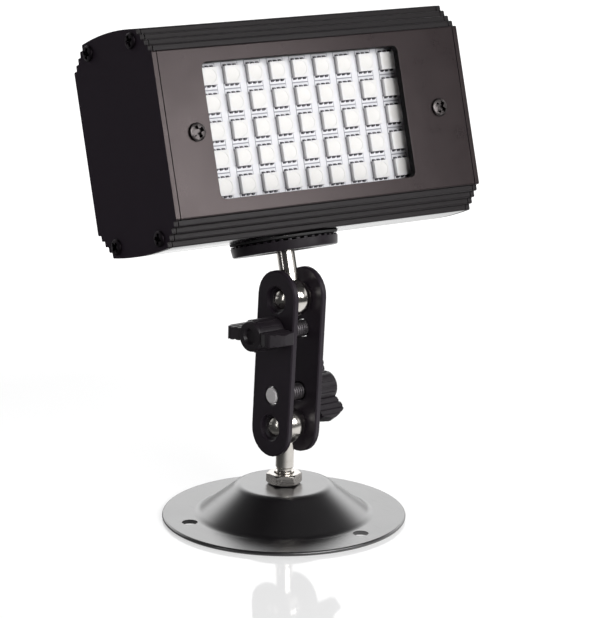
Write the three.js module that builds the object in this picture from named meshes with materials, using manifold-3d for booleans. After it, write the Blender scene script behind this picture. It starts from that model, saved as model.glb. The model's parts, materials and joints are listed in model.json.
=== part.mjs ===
// LED strobe light on a double ball clamp bracket with a round steel foot.
// Millimetres, +Z up, origin under the middle of the whole object. The lamp's long side runs along X
// and its window faces -Y. Built in the pose in which the lamp leans back a little on its bracket.

import * as THREE from "three";
import { mergeVertices } from "three/addons/utils/BufferGeometryUtils.js";
import Module from "manifold-3d";

const wasm = await Module();
wasm.setup();

// Clearances and small finishes shared by all pieces
const SEAT_GAP = 0.25;
const THREAD_GAP = 0.3;
const OVERRUN = 4;
const DEGREE = Math.PI / 180;

// Pose of the bracket, in degrees
const ARM_TURN = 6.2;
const LOWER_STUD_LEAN = 1.85;
const ARM_SWAY = 1.55;
const UPPER_TILT = -17.1;
const UPPER_SWAY = 0.63;
const LAMP_TURN = -6.96;
const NEAR_KNOB_TURN = -87.5;
const FAR_KNOB_TURN = -38;

// Foot
const FOOT_RADIUS = 35.2;
const FOOT_SHEET = 1.2;
const FOOT_HEIGHT = 10;
const DOME_FOOT_RADIUS = 24.4;
const DOME_TOP_RADIUS = 13.2;
const DOME_FOOT_FILLET = 5;
const DOME_TOP_FILLET = 2.6;
const FOOT_HOLE_RADIUS = 2.25;
const FOOT_HOLE_CIRCLE = 28.5;
const FOOT_HOLE_COUNT = 3;
const FOOT_HOLE_START = 42.8;

// Nuts of the foot
const NUT_FLATS = 9;
const NUT_HEIGHT = 3;
const NUT_TURN = -32.8;

// Ball studs
const BALL_RADIUS = 5.5;
const LOWER_SHANK_RADIUS = 2.6;
const LOWER_BALL_HEIGHT = 27.4;
const LOWER_RELIEF_RADIUS = 2.3;
const LOWER_RELIEF_HEIGHT = 0.7;
const LOWER_THREAD_RISE = 0.7;
const LOWER_STUD_TAIL = 0.6;
const UPPER_SHANK_RADIUS = 2.6;
const UPPER_STUD_REACH = 17.83;
const UPPER_STUD_ENTRY = 8.6;
const STUD_CHAMFER = 0.5;

// Clamp straps
const STRAP_LENGTH = 54.1;
const STRAP_WIDTH = 15.3;
const STRAP_SHEET = 2;
const STRAP_EDGE = 0.35;
const BALL_SPACING = 37.3;
const BALL_SEAT_RADIUS = 3.65;
const BOLT_OFFSET = 9.25;

// Wing screws
const BOLT_RADIUS = 2.35;
const BOLT_TAIL = 0.2;
const BOLT_CHAMFER = 0.5;
const KNOB_LENGTH = 9.6;
const KNOB_FOOT_RADIUS = 4.6;
const KNOB_END_RADIUS = 4.4;
const KNOB_ROUNDING = 0.6;
const KNOB_DISH_RADIUS = 2.4;
const KNOB_DISH_DEPTH = 0.9;
const KNOB_BOLT_DEPTH = 6.2;
const WING_SPAN = 21;
const WING_THICKNESS = 3.6;
const WING_TIP_ROUND = 1;
const WING_BOTTOM = 0.5;
const WING_FOOT_REACH = 9.6;
const WING_FOOT_RISE = 0.7;
const WING_FOOT_CORNER = 1;
const WING_SHOULDER = 6.2;
const WING_EAR_REACH = 8.2;
const WING_EAR_HEIGHT = 10.7;
const WING_EAR_CORNER = 1.5;
const GRIP_PITCH = 1.8;
const GRIP_DEPTH = 0.35;
const GRIP_START = 4;

// Lock ring
const RING_RADIUS = 15.4;
const RING_FOOT_RADIUS = 15.1;
const RING_THICKNESS = 2.65;
const RING_TOOTH_HEIGHT = 0.5;
const RING_TOOTH_COUNT = 40;
const RING_TOOTH_INNER_RADIUS = 10.5;
const RING_ROUNDING = 0.5;
const RING_RECESS_RADIUS = 8.5;
const RING_RECESS_DEPTH = 0.8;
const WASHER_THICKNESS = 0.7;
const RING_SEAT_DEPTH = 0.6;

// Lamp housing
const HEAD_LENGTH = 105.9;
const HEAD_DEPTH = 40.1;
const HEAD_HEIGHT = 60.1;
const FACE_HEIGHT = 46.3;
const CORNER_DEPTH = 6;
const TOP_CROWN = 1.1;
const BOTTOM_CROWN = 0.8;
const RIB_STEPS = 4;
const RIB_NOSE = 0.5;
const RIB_ROOT = 0.35;
const WALL = 2;
const LIP_HEIGHT = 4.3;
const LIP_THICKNESS = 1.8;
const STUD_OFFSET = 4.02;
const STUD_SETBACK = 0.58;
const PORT_OFFSET = 11;
const PORT_INSET = 2.9;
const PORT_RADIUS = 1.55;
const PORT_BOSS_RADIUS = 2.9;
const PORT_SLOT = 1.2;

// End plates and their screws
const END_PLATE = 1.4;
const END_SCREW_RADIUS = 1.25;
const END_SCREW_LENGTH = 9;
const END_HEAD_RADIUS = 2.3;
const END_HEAD_HEIGHT = 1.5;

// Front panel
const PANEL_THICKNESS = 2.2;
const WINDOW_WIDTH = 67.8;
const WINDOW_HEIGHT = 37.8;
const WINDOW_OFFSET = -3.5;
const WINDOW_CORNER = 1.8;
const PANEL_SCREW_SPREAD = 42.2;
const PANEL_SCREW_RADIUS = 1.45;
const PANEL_HEAD_RADIUS = 2.7;
const PANEL_HEAD_HEIGHT = 1.5;
const PANEL_SPACER_RADIUS = 2.8;
const PANEL_NUT_FLATS = 5.5;
const PANEL_NUT_HEIGHT = 2.4;

// LED board and what it is bonded to
const LED_COLUMNS = 9;
const LED_ROWS = 5;
const LED_PITCH_X = 7.74;
const LED_PITCH_Z = 7.67;
const LED_SIZE = 5;
const LED_HEIGHT = 1.6;
const LED_CUP_RADIUS = 2;
const LED_CUP_DEPTH = 0.35;
const LED_CUP_SIDES = 12;
const LED_GRID_OFFSET = -0.9;
const LED_FACE_DEPTH = 4.65;
const BOARD_WIDTH = 69.2;
const BOARD_HEIGHT = 43;
const BOARD_THICKNESS = 1.6;
const PAD_MARGIN = 0.6;
const PAD_THICKNESS = 0.8;
const CARRIER_WIDTH = 96;
const CARRIER_HEIGHT = 45;
const CARRIER_THICKNESS = 1.5;

// Driver board
const DRIVER_WIDTH = 54;
const DRIVER_OFFSET = 11;
const DRIVER_HEIGHT = 38;
const DRIVER_THICKNESS = 1.6;
const CAPACITOR_RADIUS = 3.2;
const CAPACITOR_HEIGHT = 7.5;
const CAPACITOR_SPACING = 9;
const CAPACITOR_DROP = 9;
const CHIP_WIDTH = 6;
const CHIP_LENGTH = 10;
const CHIP_HEIGHT = 1.8;
const TRANSISTOR_SIZE = 5.6;
const TRANSISTOR_HEIGHT = 2.4;
const TRANSISTOR_COUNT = 3;
const TRANSISTOR_PITCH = 8;

// Speed control
const CONTROL_OFFSET = 23;
const POT_WIDTH = 9.8;
const POT_HEIGHT = 11.4;
const POT_DEPTH = 6.8;
const POT_BUSH_RADIUS = 3.4;
const POT_BUSH_LENGTH = 5;
const POT_SHAFT_RADIUS = 2.6;
const POT_NUT_FLATS = 10;
const POT_NUT_HEIGHT = 1.8;
const SPEED_KNOB_RADIUS = 7.2;
const SPEED_KNOB_TOP_RADIUS = 6.5;
const SPEED_KNOB_HEIGHT = 11.5;
const SPEED_KNOB_SKIRT = 3;
const SPEED_KNOB_BORE_ROOF = 2;
const SPEED_KNOB_FLUTES = 16;
const SPEED_KNOB_FLUTE_RADIUS = 1.1;
const SPEED_KNOB_FLUTE_SINK = 0.5;
const SPEED_KNOB_SKIRT_HEIGHT = 2;
const SPEED_POINTER_WIDTH = 1;
const SPEED_POINTER_DEPTH = 0.5;

// Power inlet
const INLET_FLANGE_RADIUS = 5.6;
const INLET_FLANGE_HEIGHT = 1.6;
const INLET_BODY_RADIUS = 4;
const INLET_LENGTH = 11;
const INLET_BORE_RADIUS = 2.9;
const INLET_BORE_DEPTH = 9;
const INLET_PIN_RADIUS = 1.05;
const INLET_PIN_SETBACK = 1;
const INLET_NUT_FLATS = 11;
const INLET_NUT_HEIGHT = 2;

// Threaded bush in the bottom wall
const BUSH_NECK_RADIUS = 4.2;
const BUSH_FLANGE_RADIUS = 7;
const BUSH_FLANGE_HEIGHT = 1.5;
const BUSH_BODY_RADIUS = 4.8;
const BUSH_HEIGHT = 11;

// Numbers of facets
const DISH_SIDES = 60;
const ROUND_SIDES = 32;
const BALL_SIDES = 28;
const BALL_RINGS = 14;
const RING_SIDES = 60;
const SMALL_SIDES = 18;
const SCREW_SIDES = 14;
const TINY_SIDES = 12;

// Sizes that follow from the ones above
const CORNER_RISE = (HEAD_HEIGHT - FACE_HEIGHT) / 2;
const FACE_MIDDLE = HEAD_HEIGHT / 2;
const FRONT = -HEAD_DEPTH / 2;
const BACK = HEAD_DEPTH / 2;
const EXTRUSION_LENGTH = HEAD_LENGTH - 2 * END_PLATE - 2 * SEAT_GAP;
const PANEL_BACK = FRONT + PANEL_THICKNESS;
const LIP_FRONT = PANEL_THICKNESS + SEAT_GAP;
const STRAP_GAP = 2 * (Math.sqrt(BALL_RADIUS ** 2 - BALL_SEAT_RADIUS ** 2) + SEAT_GAP);
const ARM_THICKNESS = STRAP_GAP + 2 * STRAP_SHEET;
const BOARD_FRONT = FRONT + LED_FACE_DEPTH + LED_HEIGHT;
const PAD_FRONT = BOARD_FRONT + BOARD_THICKNESS + SEAT_GAP;
const CARRIER_FRONT = PAD_FRONT + PAD_THICKNESS + SEAT_GAP;
const CARRIER_BACK = CARRIER_FRONT + CARRIER_THICKNESS;
const POT_BACK = BACK - WALL - SEAT_GAP;
const DRIVER_BACK = POT_BACK - POT_DEPTH - SEAT_GAP;
const LEAN_HEIGHT = FOOT_HEIGHT - FOOT_SHEET / 2;
const RING_SEAT = RING_SEAT_DEPTH - BOTTOM_CROWN;
const WASHER_TOP = RING_SEAT - SEAT_GAP;
const RING_TOP = WASHER_TOP - WASHER_THICKNESS - SEAT_GAP;

// Colours, roughness and metalness of the pieces
const FINISHES = {
  anodised: { color: 0x1b191b, roughness: 0.42, metalness: 0.6 },
  panel: { color: 0x2e2a2a, roughness: 0.6, metalness: 0.3 },
  steel: { color: 0x17161a, roughness: 0.35, metalness: 0.4 },
  nickel: { color: 0xcfcac0, roughness: 0.18, metalness: 1 },
  screw: { color: 0x242226, roughness: 0.35, metalness: 0.8 },
  plastic: { color: 0x131216, roughness: 0.3, metalness: 0 },
  board: { color: 0xf2f4f6, roughness: 0.4, metalness: 0 },
  rubber: { color: 0x151417, roughness: 0.8, metalness: 0 },
  pad: { color: 0x9aa3a8, roughness: 0.9, metalness: 0 },
  aluminium: { color: 0xb9bcc0, roughness: 0.4, metalness: 1 },
  fibreglass: { color: 0x1f5a34, roughness: 0.5, metalness: 0 },
};

const point = (x, y) => new THREE.Vector2(x, y);

// Points of an arc from one angle to another, in radians
function arc(x, y, radius, from, to, steps) {
  const points = [];
  for (let i = 0; i <= steps; i += 1) {
    const angle = from + ((to - from) * i) / steps;
    points.push(point(x + radius * Math.cos(angle), y + radius * Math.sin(angle)));
  }
  return points;
}

// A path through corner points in which every corner that has a radius is an arc
function roundedPath(corners, stepsPerArc) {
  const path = [];
  corners.forEach(({ at, radius }, i) => {
    if (!radius || i === 0 || i === corners.length - 1) {
      path.push(at);
      return;
    }
    const toLast = corners[i - 1].at.clone().sub(at).normalize();
    const toNext = corners[i + 1].at.clone().sub(at).normalize();
    const half = Math.acos(THREE.MathUtils.clamp(toLast.dot(toNext), -1, 1)) / 2;
    const centre = toLast.clone().add(toNext).normalize().multiplyScalar(radius / Math.sin(half)).add(at);
    const start = toLast.clone().multiplyScalar(radius / Math.tan(half)).add(at).sub(centre);
    const end = toNext.clone().multiplyScalar(radius / Math.tan(half)).add(at).sub(centre);
    const from = Math.atan2(start.y, start.x);
    let sweep = Math.atan2(end.y, end.x) - from;
    if (sweep > Math.PI) sweep -= 2 * Math.PI;
    if (sweep < -Math.PI) sweep += 2 * Math.PI;
    path.push(...arc(centre.x, centre.y, radius, from, from + sweep, stepsPerArc));
  });
  return path;
}

// The same path moved sideways, to the left of its direction
function offsetPath(path, distance) {
  return path.map((at, i) => {
    const before = path[Math.max(i - 1, 0)];
    const after = path[Math.min(i + 1, path.length - 1)];
    const along = after.clone().sub(before).normalize();
    return point(at.x - along.y * distance, at.y + along.x * distance);
  });
}

function roundedRectangle(width, height, radius, steps) {
  const x = width / 2 - radius;
  const y = height / 2 - radius;
  const quarter = Math.PI / 2;
  return [
    ...arc(x, y, radius, 0, quarter, steps),
    ...arc(-x, y, radius, quarter, 2 * quarter, steps),
    ...arc(-x, -y, radius, 2 * quarter, 3 * quarter, steps),
    ...arc(x, -y, radius, 3 * quarter, 4 * quarter, steps),
  ];
}

// Solid of a closed geometry, for cutting and joining
function solidOf(geometry) {
  const bare = geometry.clone();
  bare.deleteAttribute("normal");
  bare.deleteAttribute("uv");
  const merged = mergeVertices(bare);
  const source = merged.index.array;
  const triangles = [];
  for (let i = 0; i < source.length; i += 3) {
    const [a, b, c] = [source[i], source[i + 1], source[i + 2]];
    if (a !== b && b !== c && c !== a) triangles.push(a, b, c);
  }
  const mesh = new wasm.Mesh({
    numProp: 3,
    vertProperties: new Float32Array(merged.attributes.position.array),
    triVerts: new Uint32Array(triangles),
  });
  return new wasm.Manifold(mesh);
}

function geometryOf(solid) {
  const mesh = solid.getMesh();
  const geometry = new THREE.BufferGeometry();
  geometry.setAttribute("position", new THREE.BufferAttribute(new Float32Array(mesh.vertProperties), 3));
  geometry.setIndex(new THREE.BufferAttribute(new Uint32Array(mesh.triVerts), 1));
  geometry.computeVertexNormals();
  return geometry;
}

// An outline swept along Z, from height 0
function prism(outline, height, holes = []) {
  const shape = new THREE.Shape(outline);
  holes.forEach((hole) => shape.holes.push(new THREE.Path(hole)));
  return new THREE.ExtrudeGeometry(shape, { depth: height, bevelEnabled: false });
}

// An outline turned about Z: its points are radius and height, from the axis below to the axis above
function turned(profile, sides = ROUND_SIDES) {
  const geometry = new THREE.LatheGeometry(profile, sides);
  return geometry.rotateX(Math.PI / 2);
}

// Maps an outline drawn as depth and height onto the lamp, swept along its length
function alongLength(geometry, start) {
  const axes = new THREE.Matrix4().makeBasis(
    new THREE.Vector3(0, 1, 0),
    new THREE.Vector3(0, 0, 1),
    new THREE.Vector3(1, 0, 0),
  );
  return geometry.applyMatrix4(axes).translate(start, 0, 0);
}

// Maps an outline drawn as length and height onto the lamp, swept from front to back
function throughDepth(geometry, start) {
  const axes = new THREE.Matrix4().makeBasis(
    new THREE.Vector3(-1, 0, 0),
    new THREE.Vector3(0, 0, 1),
    new THREE.Vector3(0, 1, 0),
  );
  return geometry.applyMatrix4(axes).translate(0, start, 0);
}

const circle = (radius, sides = SMALL_SIDES) => arc(0, 0, radius, 0, 2 * Math.PI, sides).slice(0, -1);

function rod(radius, height, sides = SMALL_SIDES) {
  return prism(circle(radius, sides), height);
}

// Drill through the lamp from front to back at a place on its face
function faceDrill(radius, x, z, start, length) {
  return solidOf(throughDepth(rod(radius, length), start).translate(x, 0, z));
}

function plate(width, height, thickness, start) {
  return throughDepth(prism(roundedRectangle(width, height, WINDOW_CORNER, 2), thickness), start);
}

function finish(name) {
  return new THREE.MeshStandardMaterial(FINISHES[name]);
}

function piece(name, geometry, finishName) {
  const mesh = new THREE.Mesh(geometry, finish(finishName));
  mesh.name = name;
  return mesh;
}

function groupAt(x, y, z, rotation = [0, 0, 0]) {
  const group = new THREE.Group();
  group.position.set(x, y, z);
  group.rotation.set(rotation[0] * DEGREE, rotation[1] * DEGREE, rotation[2] * DEGREE);
  return group;
}

// Hexagon nut with chamfered corners and a plain bore
function hexNut(flats, height, boreRadius) {
  const corner = flats / Math.sqrt(3);
  const chamfer = corner - flats / 2;
  const body = solidOf(prism(circle(corner, 6), height));
  const drop = chamfer * Math.tan(30 * DEGREE);
  const envelope = solidOf(turned([
    point(0, 0),
    point(corner - chamfer, 0),
    point(corner, drop),
    point(corner, height - drop),
    point(corner - chamfer, height),
    point(0, height),
  ], 24));
  const bore = solidOf(rod(boreRadius, height + 2 * OVERRUN).translate(0, 0, -OVERRUN));
  return geometryOf(body.intersect(envelope).subtract(bore));
}

// Pan head with a plain shank below it, the underside of the head at height 0
function panScrew(headRadius, headHeight, shankRadius, shankLength) {
  const rim = headHeight * 0.45;
  return turned([
    point(0, -shankLength),
    point(shankRadius * 0.7, -shankLength),
    point(shankRadius, -shankLength + shankRadius * 0.3),
    point(shankRadius, 0),
    point(headRadius, 0),
    point(headRadius, rim),
    point(headRadius * 0.84, headHeight * 0.8),
    point(headRadius * 0.45, headHeight),
    point(0, headHeight),
  ], SCREW_SIDES);
}

// Pressed dish: a flat rim, a cone and a flat top, with the sheet's thickness all over
function footDish() {
  const rimEnd = FOOT_RADIUS - FOOT_SHEET / 2;
  const top = FOOT_HEIGHT - FOOT_SHEET;
  const boreRadius = LOWER_SHANK_RADIUS + THREAD_GAP;
  const under = roundedPath([
    { at: point(boreRadius, top) },
    { at: point(DOME_TOP_RADIUS, top), radius: DOME_TOP_FILLET },
    { at: point(DOME_FOOT_RADIUS, 0), radius: DOME_FOOT_FILLET },
    { at: point(rimEnd, 0) },
  ], 3);
  const upper = offsetPath(under, FOOT_SHEET);
  const rim = arc(rimEnd, FOOT_SHEET / 2, FOOT_SHEET / 2, -Math.PI / 2, Math.PI / 2, 3).slice(1, -1);
  const profile = [...under, ...rim, ...upper.reverse(), under[0]];
  let dish = solidOf(turned(profile, DISH_SIDES));
  for (let i = 0; i < FOOT_HOLE_COUNT; i += 1) {
    const angle = (FOOT_HOLE_START + (360 * i) / FOOT_HOLE_COUNT) * DEGREE;
    const drill = rod(FOOT_HOLE_RADIUS, FOOT_SHEET + 2 * OVERRUN);
    drill.translate(FOOT_HOLE_CIRCLE * Math.cos(angle), FOOT_HOLE_CIRCLE * Math.sin(angle), -OVERRUN);
    dish = dish.subtract(solidOf(drill));
  }
  return geometryOf(dish);
}

// Ball at height 0 with its shank below, relieved above the thread
function lowerStud() {
  const neck = Math.asin(LOWER_SHANK_RADIUS / BALL_RADIUS);
  const nutTop = FOOT_HEIGHT + SEAT_GAP + NUT_HEIGHT - LOWER_BALL_HEIGHT;
  const thread = nutTop + LOWER_THREAD_RISE;
  const foot = FOOT_HEIGHT - FOOT_SHEET - 2 * SEAT_GAP - NUT_HEIGHT - LOWER_STUD_TAIL - LOWER_BALL_HEIGHT;
  return turned([
    point(0, foot),
    point(LOWER_SHANK_RADIUS - STUD_CHAMFER, foot),
    point(LOWER_SHANK_RADIUS, foot + STUD_CHAMFER),
    point(LOWER_SHANK_RADIUS, thread),
    point(LOWER_RELIEF_RADIUS, thread + LOWER_RELIEF_HEIGHT / 4),
    point(LOWER_RELIEF_RADIUS, thread + LOWER_RELIEF_HEIGHT),
    point(LOWER_SHANK_RADIUS, thread + LOWER_RELIEF_HEIGHT * 1.5),
    ...arc(0, 0, BALL_RADIUS, neck - Math.PI / 2, Math.PI / 2, BALL_RINGS).map((p, i, all) => (
      i === all.length - 1 ? point(0, BALL_RADIUS) : p
    )),
  ], BALL_SIDES);
}

// Ball at height 0 with its shank above, up into the lamp
function upperStud() {
  const neck = Math.asin(UPPER_SHANK_RADIUS / BALL_RADIUS);
  const top = UPPER_STUD_REACH + UPPER_STUD_ENTRY;
  return turned([
    point(0, -BALL_RADIUS),
    ...arc(0, 0, BALL_RADIUS, -Math.PI / 2, Math.PI / 2 - neck, BALL_RINGS).slice(1),
    point(UPPER_SHANK_RADIUS, top - STUD_CHAMFER),
    point(UPPER_SHANK_RADIUS - STUD_CHAMFER, top),
    point(0, top),
  ], BALL_SIDES);
}

// Strap with round ends, two ball seats, a clearance hole and a threaded hole, lying in the YZ plane
function clampStrap(clearanceSide) {
  const end = BALL_SPACING / 2;
  const radius = STRAP_WIDTH / 2 - STRAP_EDGE;
  const middle = (STRAP_LENGTH - STRAP_WIDTH) / 2;
  const outline = [
    ...arc(middle, 0, radius, -Math.PI / 2, Math.PI / 2, 14),
    ...arc(-middle, 0, radius, Math.PI / 2, 1.5 * Math.PI, 14),
  ];
  const hole = (x, r) => arc(x, 0, r, 2 * Math.PI, 0, SMALL_SIDES).slice(0, -1);
  const holes = [
    hole(end, BALL_SEAT_RADIUS + STRAP_EDGE),
    hole(-end, BALL_SEAT_RADIUS + STRAP_EDGE),
    hole(BOLT_OFFSET * clearanceSide, BOLT_RADIUS + THREAD_GAP + STRAP_EDGE),
    hole(-BOLT_OFFSET * clearanceSide, BOLT_RADIUS + THREAD_GAP + STRAP_EDGE),
  ];
  const shape = new THREE.Shape(outline);
  holes.forEach((path) => shape.holes.push(new THREE.Path(path)));
  const strap = new THREE.ExtrudeGeometry(shape, {
    depth: STRAP_SHEET - 2 * STRAP_EDGE,
    bevelThickness: STRAP_EDGE,
    bevelSize: STRAP_EDGE,
    bevelSegments: 1,
  });
  strap.translate(0, 0, STRAP_EDGE - STRAP_SHEET / 2);
  return strap.applyMatrix4(new THREE.Matrix4().makeBasis(
    new THREE.Vector3(0, 0, 1),
    new THREE.Vector3(0, 1, 0),
    new THREE.Vector3(-1, 0, 0),
  ));
}

// Wings seen along the screw: ribs run along the screw on both sides
function wingSection() {
  const half = WING_THICKNESS / 2;
  const end = WING_SPAN / 2;
  const ribs = Math.floor((end - WING_TIP_ROUND - GRIP_START) / GRIP_PITCH);
  const side = [point(0, half - GRIP_DEPTH), point(GRIP_START, half - GRIP_DEPTH)];
  for (let i = 0; i < ribs; i += 1) {
    const start = GRIP_START + i * GRIP_PITCH;
    side.push(point(start + GRIP_PITCH * 0.25, half));
    side.push(point(start + GRIP_PITCH * 0.7, half));
    side.push(point(start + GRIP_PITCH, half - GRIP_DEPTH));
  }
  side.push(...arc(end - WING_TIP_ROUND, half - WING_TIP_ROUND, WING_TIP_ROUND, Math.PI / 2, 0, 3));
  const flipX = side.map((p) => point(-p.x, p.y)).reverse();
  const top = [...flipX.slice(0, -1), ...side];
  const bottom = top.map((p) => point(p.x, -p.y)).reverse();
  return [...top, ...bottom].reverse();
}

// Wing knob standing on its strap at height 0, the screw's axis along Z
function wingKnob() {
  const hub = solidOf(turned([
    point(0, SEAT_GAP),
    point(KNOB_FOOT_RADIUS, SEAT_GAP),
    ...arc(KNOB_END_RADIUS - KNOB_ROUNDING, KNOB_LENGTH - KNOB_ROUNDING, KNOB_ROUNDING, 0, Math.PI / 2, 3),
    point(0, KNOB_LENGTH),
  ], 28));
  const bars = solidOf(prism(wingSection(), WING_EAR_HEIGHT));
  const right = roundedPath([
    { at: point(0, WING_BOTTOM) },
    { at: point(KNOB_FOOT_RADIUS, WING_BOTTOM) },
    { at: point(WING_FOOT_REACH, WING_BOTTOM + WING_FOOT_RISE), radius: WING_FOOT_CORNER },
    { at: point(WING_SPAN / 2, WING_SHOULDER), radius: WING_SHOULDER / 2 },
    { at: point(WING_EAR_REACH, WING_EAR_HEIGHT), radius: WING_EAR_CORNER },
    { at: point(KNOB_END_RADIUS, KNOB_LENGTH - KNOB_ROUNDING / 2) },
    { at: point(0, KNOB_LENGTH - KNOB_ROUNDING / 2) },
  ], 4);
  const left = right.slice(1, -1).map((p) => point(-p.x, p.y)).reverse();
  const wide = prism([...right, ...left], WING_THICKNESS * 2).translate(0, 0, -WING_THICKNESS);
  const side = solidOf(wide.rotateX(Math.PI / 2));
  const dish = solidOf(turned([
    point(0, KNOB_LENGTH - KNOB_DISH_DEPTH),
    point(KNOB_DISH_RADIUS - KNOB_DISH_DEPTH / 2, KNOB_LENGTH - KNOB_DISH_DEPTH),
    point(KNOB_DISH_RADIUS, KNOB_LENGTH),
    point(KNOB_DISH_RADIUS, KNOB_LENGTH + OVERRUN),
    point(0, KNOB_LENGTH + OVERRUN),
  ], SMALL_SIDES));
  const holeDepth = KNOB_BOLT_DEPTH + SEAT_GAP;
  const hole = solidOf(rod(BOLT_RADIUS + SEAT_GAP, holeDepth + OVERRUN).translate(0, 0, -OVERRUN));
  return geometryOf(hub.add(bars.intersect(side)).subtract(dish).subtract(hole));
}

// Bolt of a wing knob: from inside the knob through both straps
function clampBolt() {
  const top = KNOB_BOLT_DEPTH;
  const tail = -ARM_THICKNESS - BOLT_TAIL;
  return turned([
    point(0, tail),
    point(BOLT_RADIUS - BOLT_CHAMFER, tail),
    point(BOLT_RADIUS, tail + BOLT_CHAMFER),
    point(BOLT_RADIUS, top),
    point(0, top),
  ], SMALL_SIDES);
}

// Lock ring with radial teeth on its upper side, its top at height 0
function lockRing() {
  const floor = -RING_THICKNESS - RING_TOOTH_HEIGHT;
  const deck = -RING_TOOTH_HEIGHT;
  const bore = UPPER_SHANK_RADIUS + THREAD_GAP;
  const body = solidOf(turned([
    point(bore, floor + RING_RECESS_DEPTH),
    point(RING_RECESS_RADIUS - RING_RECESS_DEPTH, floor + RING_RECESS_DEPTH),
    point(RING_RECESS_RADIUS, floor),
    ...arc(RING_FOOT_RADIUS - RING_ROUNDING, floor + RING_ROUNDING, RING_ROUNDING, -Math.PI / 2, 0, 3),
    point(RING_RADIUS, deck),
    point(bore, deck),
    point(bore, floor + RING_RECESS_DEPTH),
  ], RING_SIDES));
  const pitch = (2 * Math.PI * RING_RADIUS) / RING_TOOTH_COUNT;
  const length = RING_RADIUS - RING_TOOTH_INNER_RADIUS;
  const tooth = prism([
    point(-pitch * 0.27, -RING_TOOTH_HEIGHT),
    point(pitch * 0.27, -RING_TOOTH_HEIGHT),
    point(pitch * 0.2, RING_TOOTH_HEIGHT),
    point(-pitch * 0.2, RING_TOOTH_HEIGHT),
  ], length);
  tooth.rotateX(Math.PI / 2);
  tooth.translate(0, RING_RADIUS - RING_ROUNDING / 2, deck);
  const teeth = [];
  for (let i = 0; i < RING_TOOTH_COUNT; i += 1) {
    teeth.push(solidOf(tooth.clone().rotateZ((2 * Math.PI * i) / RING_TOOTH_COUNT)));
  }
  return geometryOf(wasm.Manifold.union([body, ...teeth]));
}

// Thin washer between the ring's teeth and the lamp, its top at height 0
function ringWasher() {
  const bore = UPPER_SHANK_RADIUS + THREAD_GAP;
  return turned([
    point(bore, -WASHER_THICKNESS),
    point(RING_RADIUS, -WASHER_THICKNESS),
    point(RING_RADIUS, 0),
    point(bore, 0),
    point(bore, -WASHER_THICKNESS),
  ], RING_SIDES);
}

// Stepped corner: steps from the edge of a flat face inwards and up to the edge of the crowned side
function cornerSteps(startsAtFace) {
  const tread = CORNER_DEPTH / RIB_STEPS;
  const rise = CORNER_RISE / RIB_STEPS;
  const points = [];
  for (let i = 0; i <= RIB_STEPS; i += 1) {
    const u = i * tread;
    const v = i * rise;
    if (i > 0 || startsAtFace) {
      points.push(...arc(u + RIB_NOSE, v - RIB_NOSE, RIB_NOSE, Math.PI, Math.PI / 2, 3));
    }
    if (i < RIB_STEPS && (i > 0 || startsAtFace)) {
      points.push(...arc(u + tread - RIB_ROOT, v + RIB_ROOT, RIB_ROOT, -Math.PI / 2, 0, 2));
    }
  }
  return points;
}

// Crowned side between the stepped corners, without its end points
function crown(sag, steps) {
  const half = HEAD_DEPTH / 2 - CORNER_DEPTH - RIB_NOSE;
  const radius = (half ** 2 + sag ** 2) / (2 * sag);
  const spread = Math.asin(half / radius);
  return arc(0, sag - radius, radius, Math.PI / 2 + spread, Math.PI / 2 - spread, steps).slice(1, -1);
}

const faceTop = HEAD_HEIGHT - CORNER_RISE;
const frontTop = (p) => point(FRONT + p.x, faceTop + p.y);
const backTop = (p) => point(BACK - p.x, faceTop + p.y);
const frontBottom = (p) => point(FRONT + p.x, CORNER_RISE - p.y);
const backBottom = (p) => point(BACK - p.x, CORNER_RISE - p.y);

// Outer outline from the front bottom corner round the back to the front top corner
function outerOutline(startsAtFace) {
  const front = cornerSteps(startsAtFace);
  const back = cornerSteps(true);
  return [
    ...front.map(frontBottom),
    ...crown(BOTTOM_CROWN, 10).map((p) => point(p.x, -p.y)),
    ...back.map(backBottom).reverse(),
    ...back.map(backTop),
    ...crown(TOP_CROWN, 10).map((p) => point(p.x, HEAD_HEIGHT + p.y)).reverse(),
    ...front.map(frontTop).reverse(),
  ];
}

// Places of the screw ports as depth and height
const portPlaces = [
  [-PORT_OFFSET, PORT_INSET],
  [PORT_OFFSET, PORT_INSET],
  [-PORT_OFFSET, HEAD_HEIGHT - PORT_INSET],
  [PORT_OFFSET, HEAD_HEIGHT - PORT_INSET],
];

// A bar that runs along the whole extrusion
function extruded(outline) {
  return solidOf(alongLength(prism(outline, EXTRUSION_LENGTH), -EXTRUSION_LENGTH / 2));
}

// Cutter a little longer than the extrusion
function extrudedCut(outline) {
  const length = EXTRUSION_LENGTH + 2 * OVERRUN;
  return solidOf(alongLength(prism(outline, length), -length / 2));
}

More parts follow.
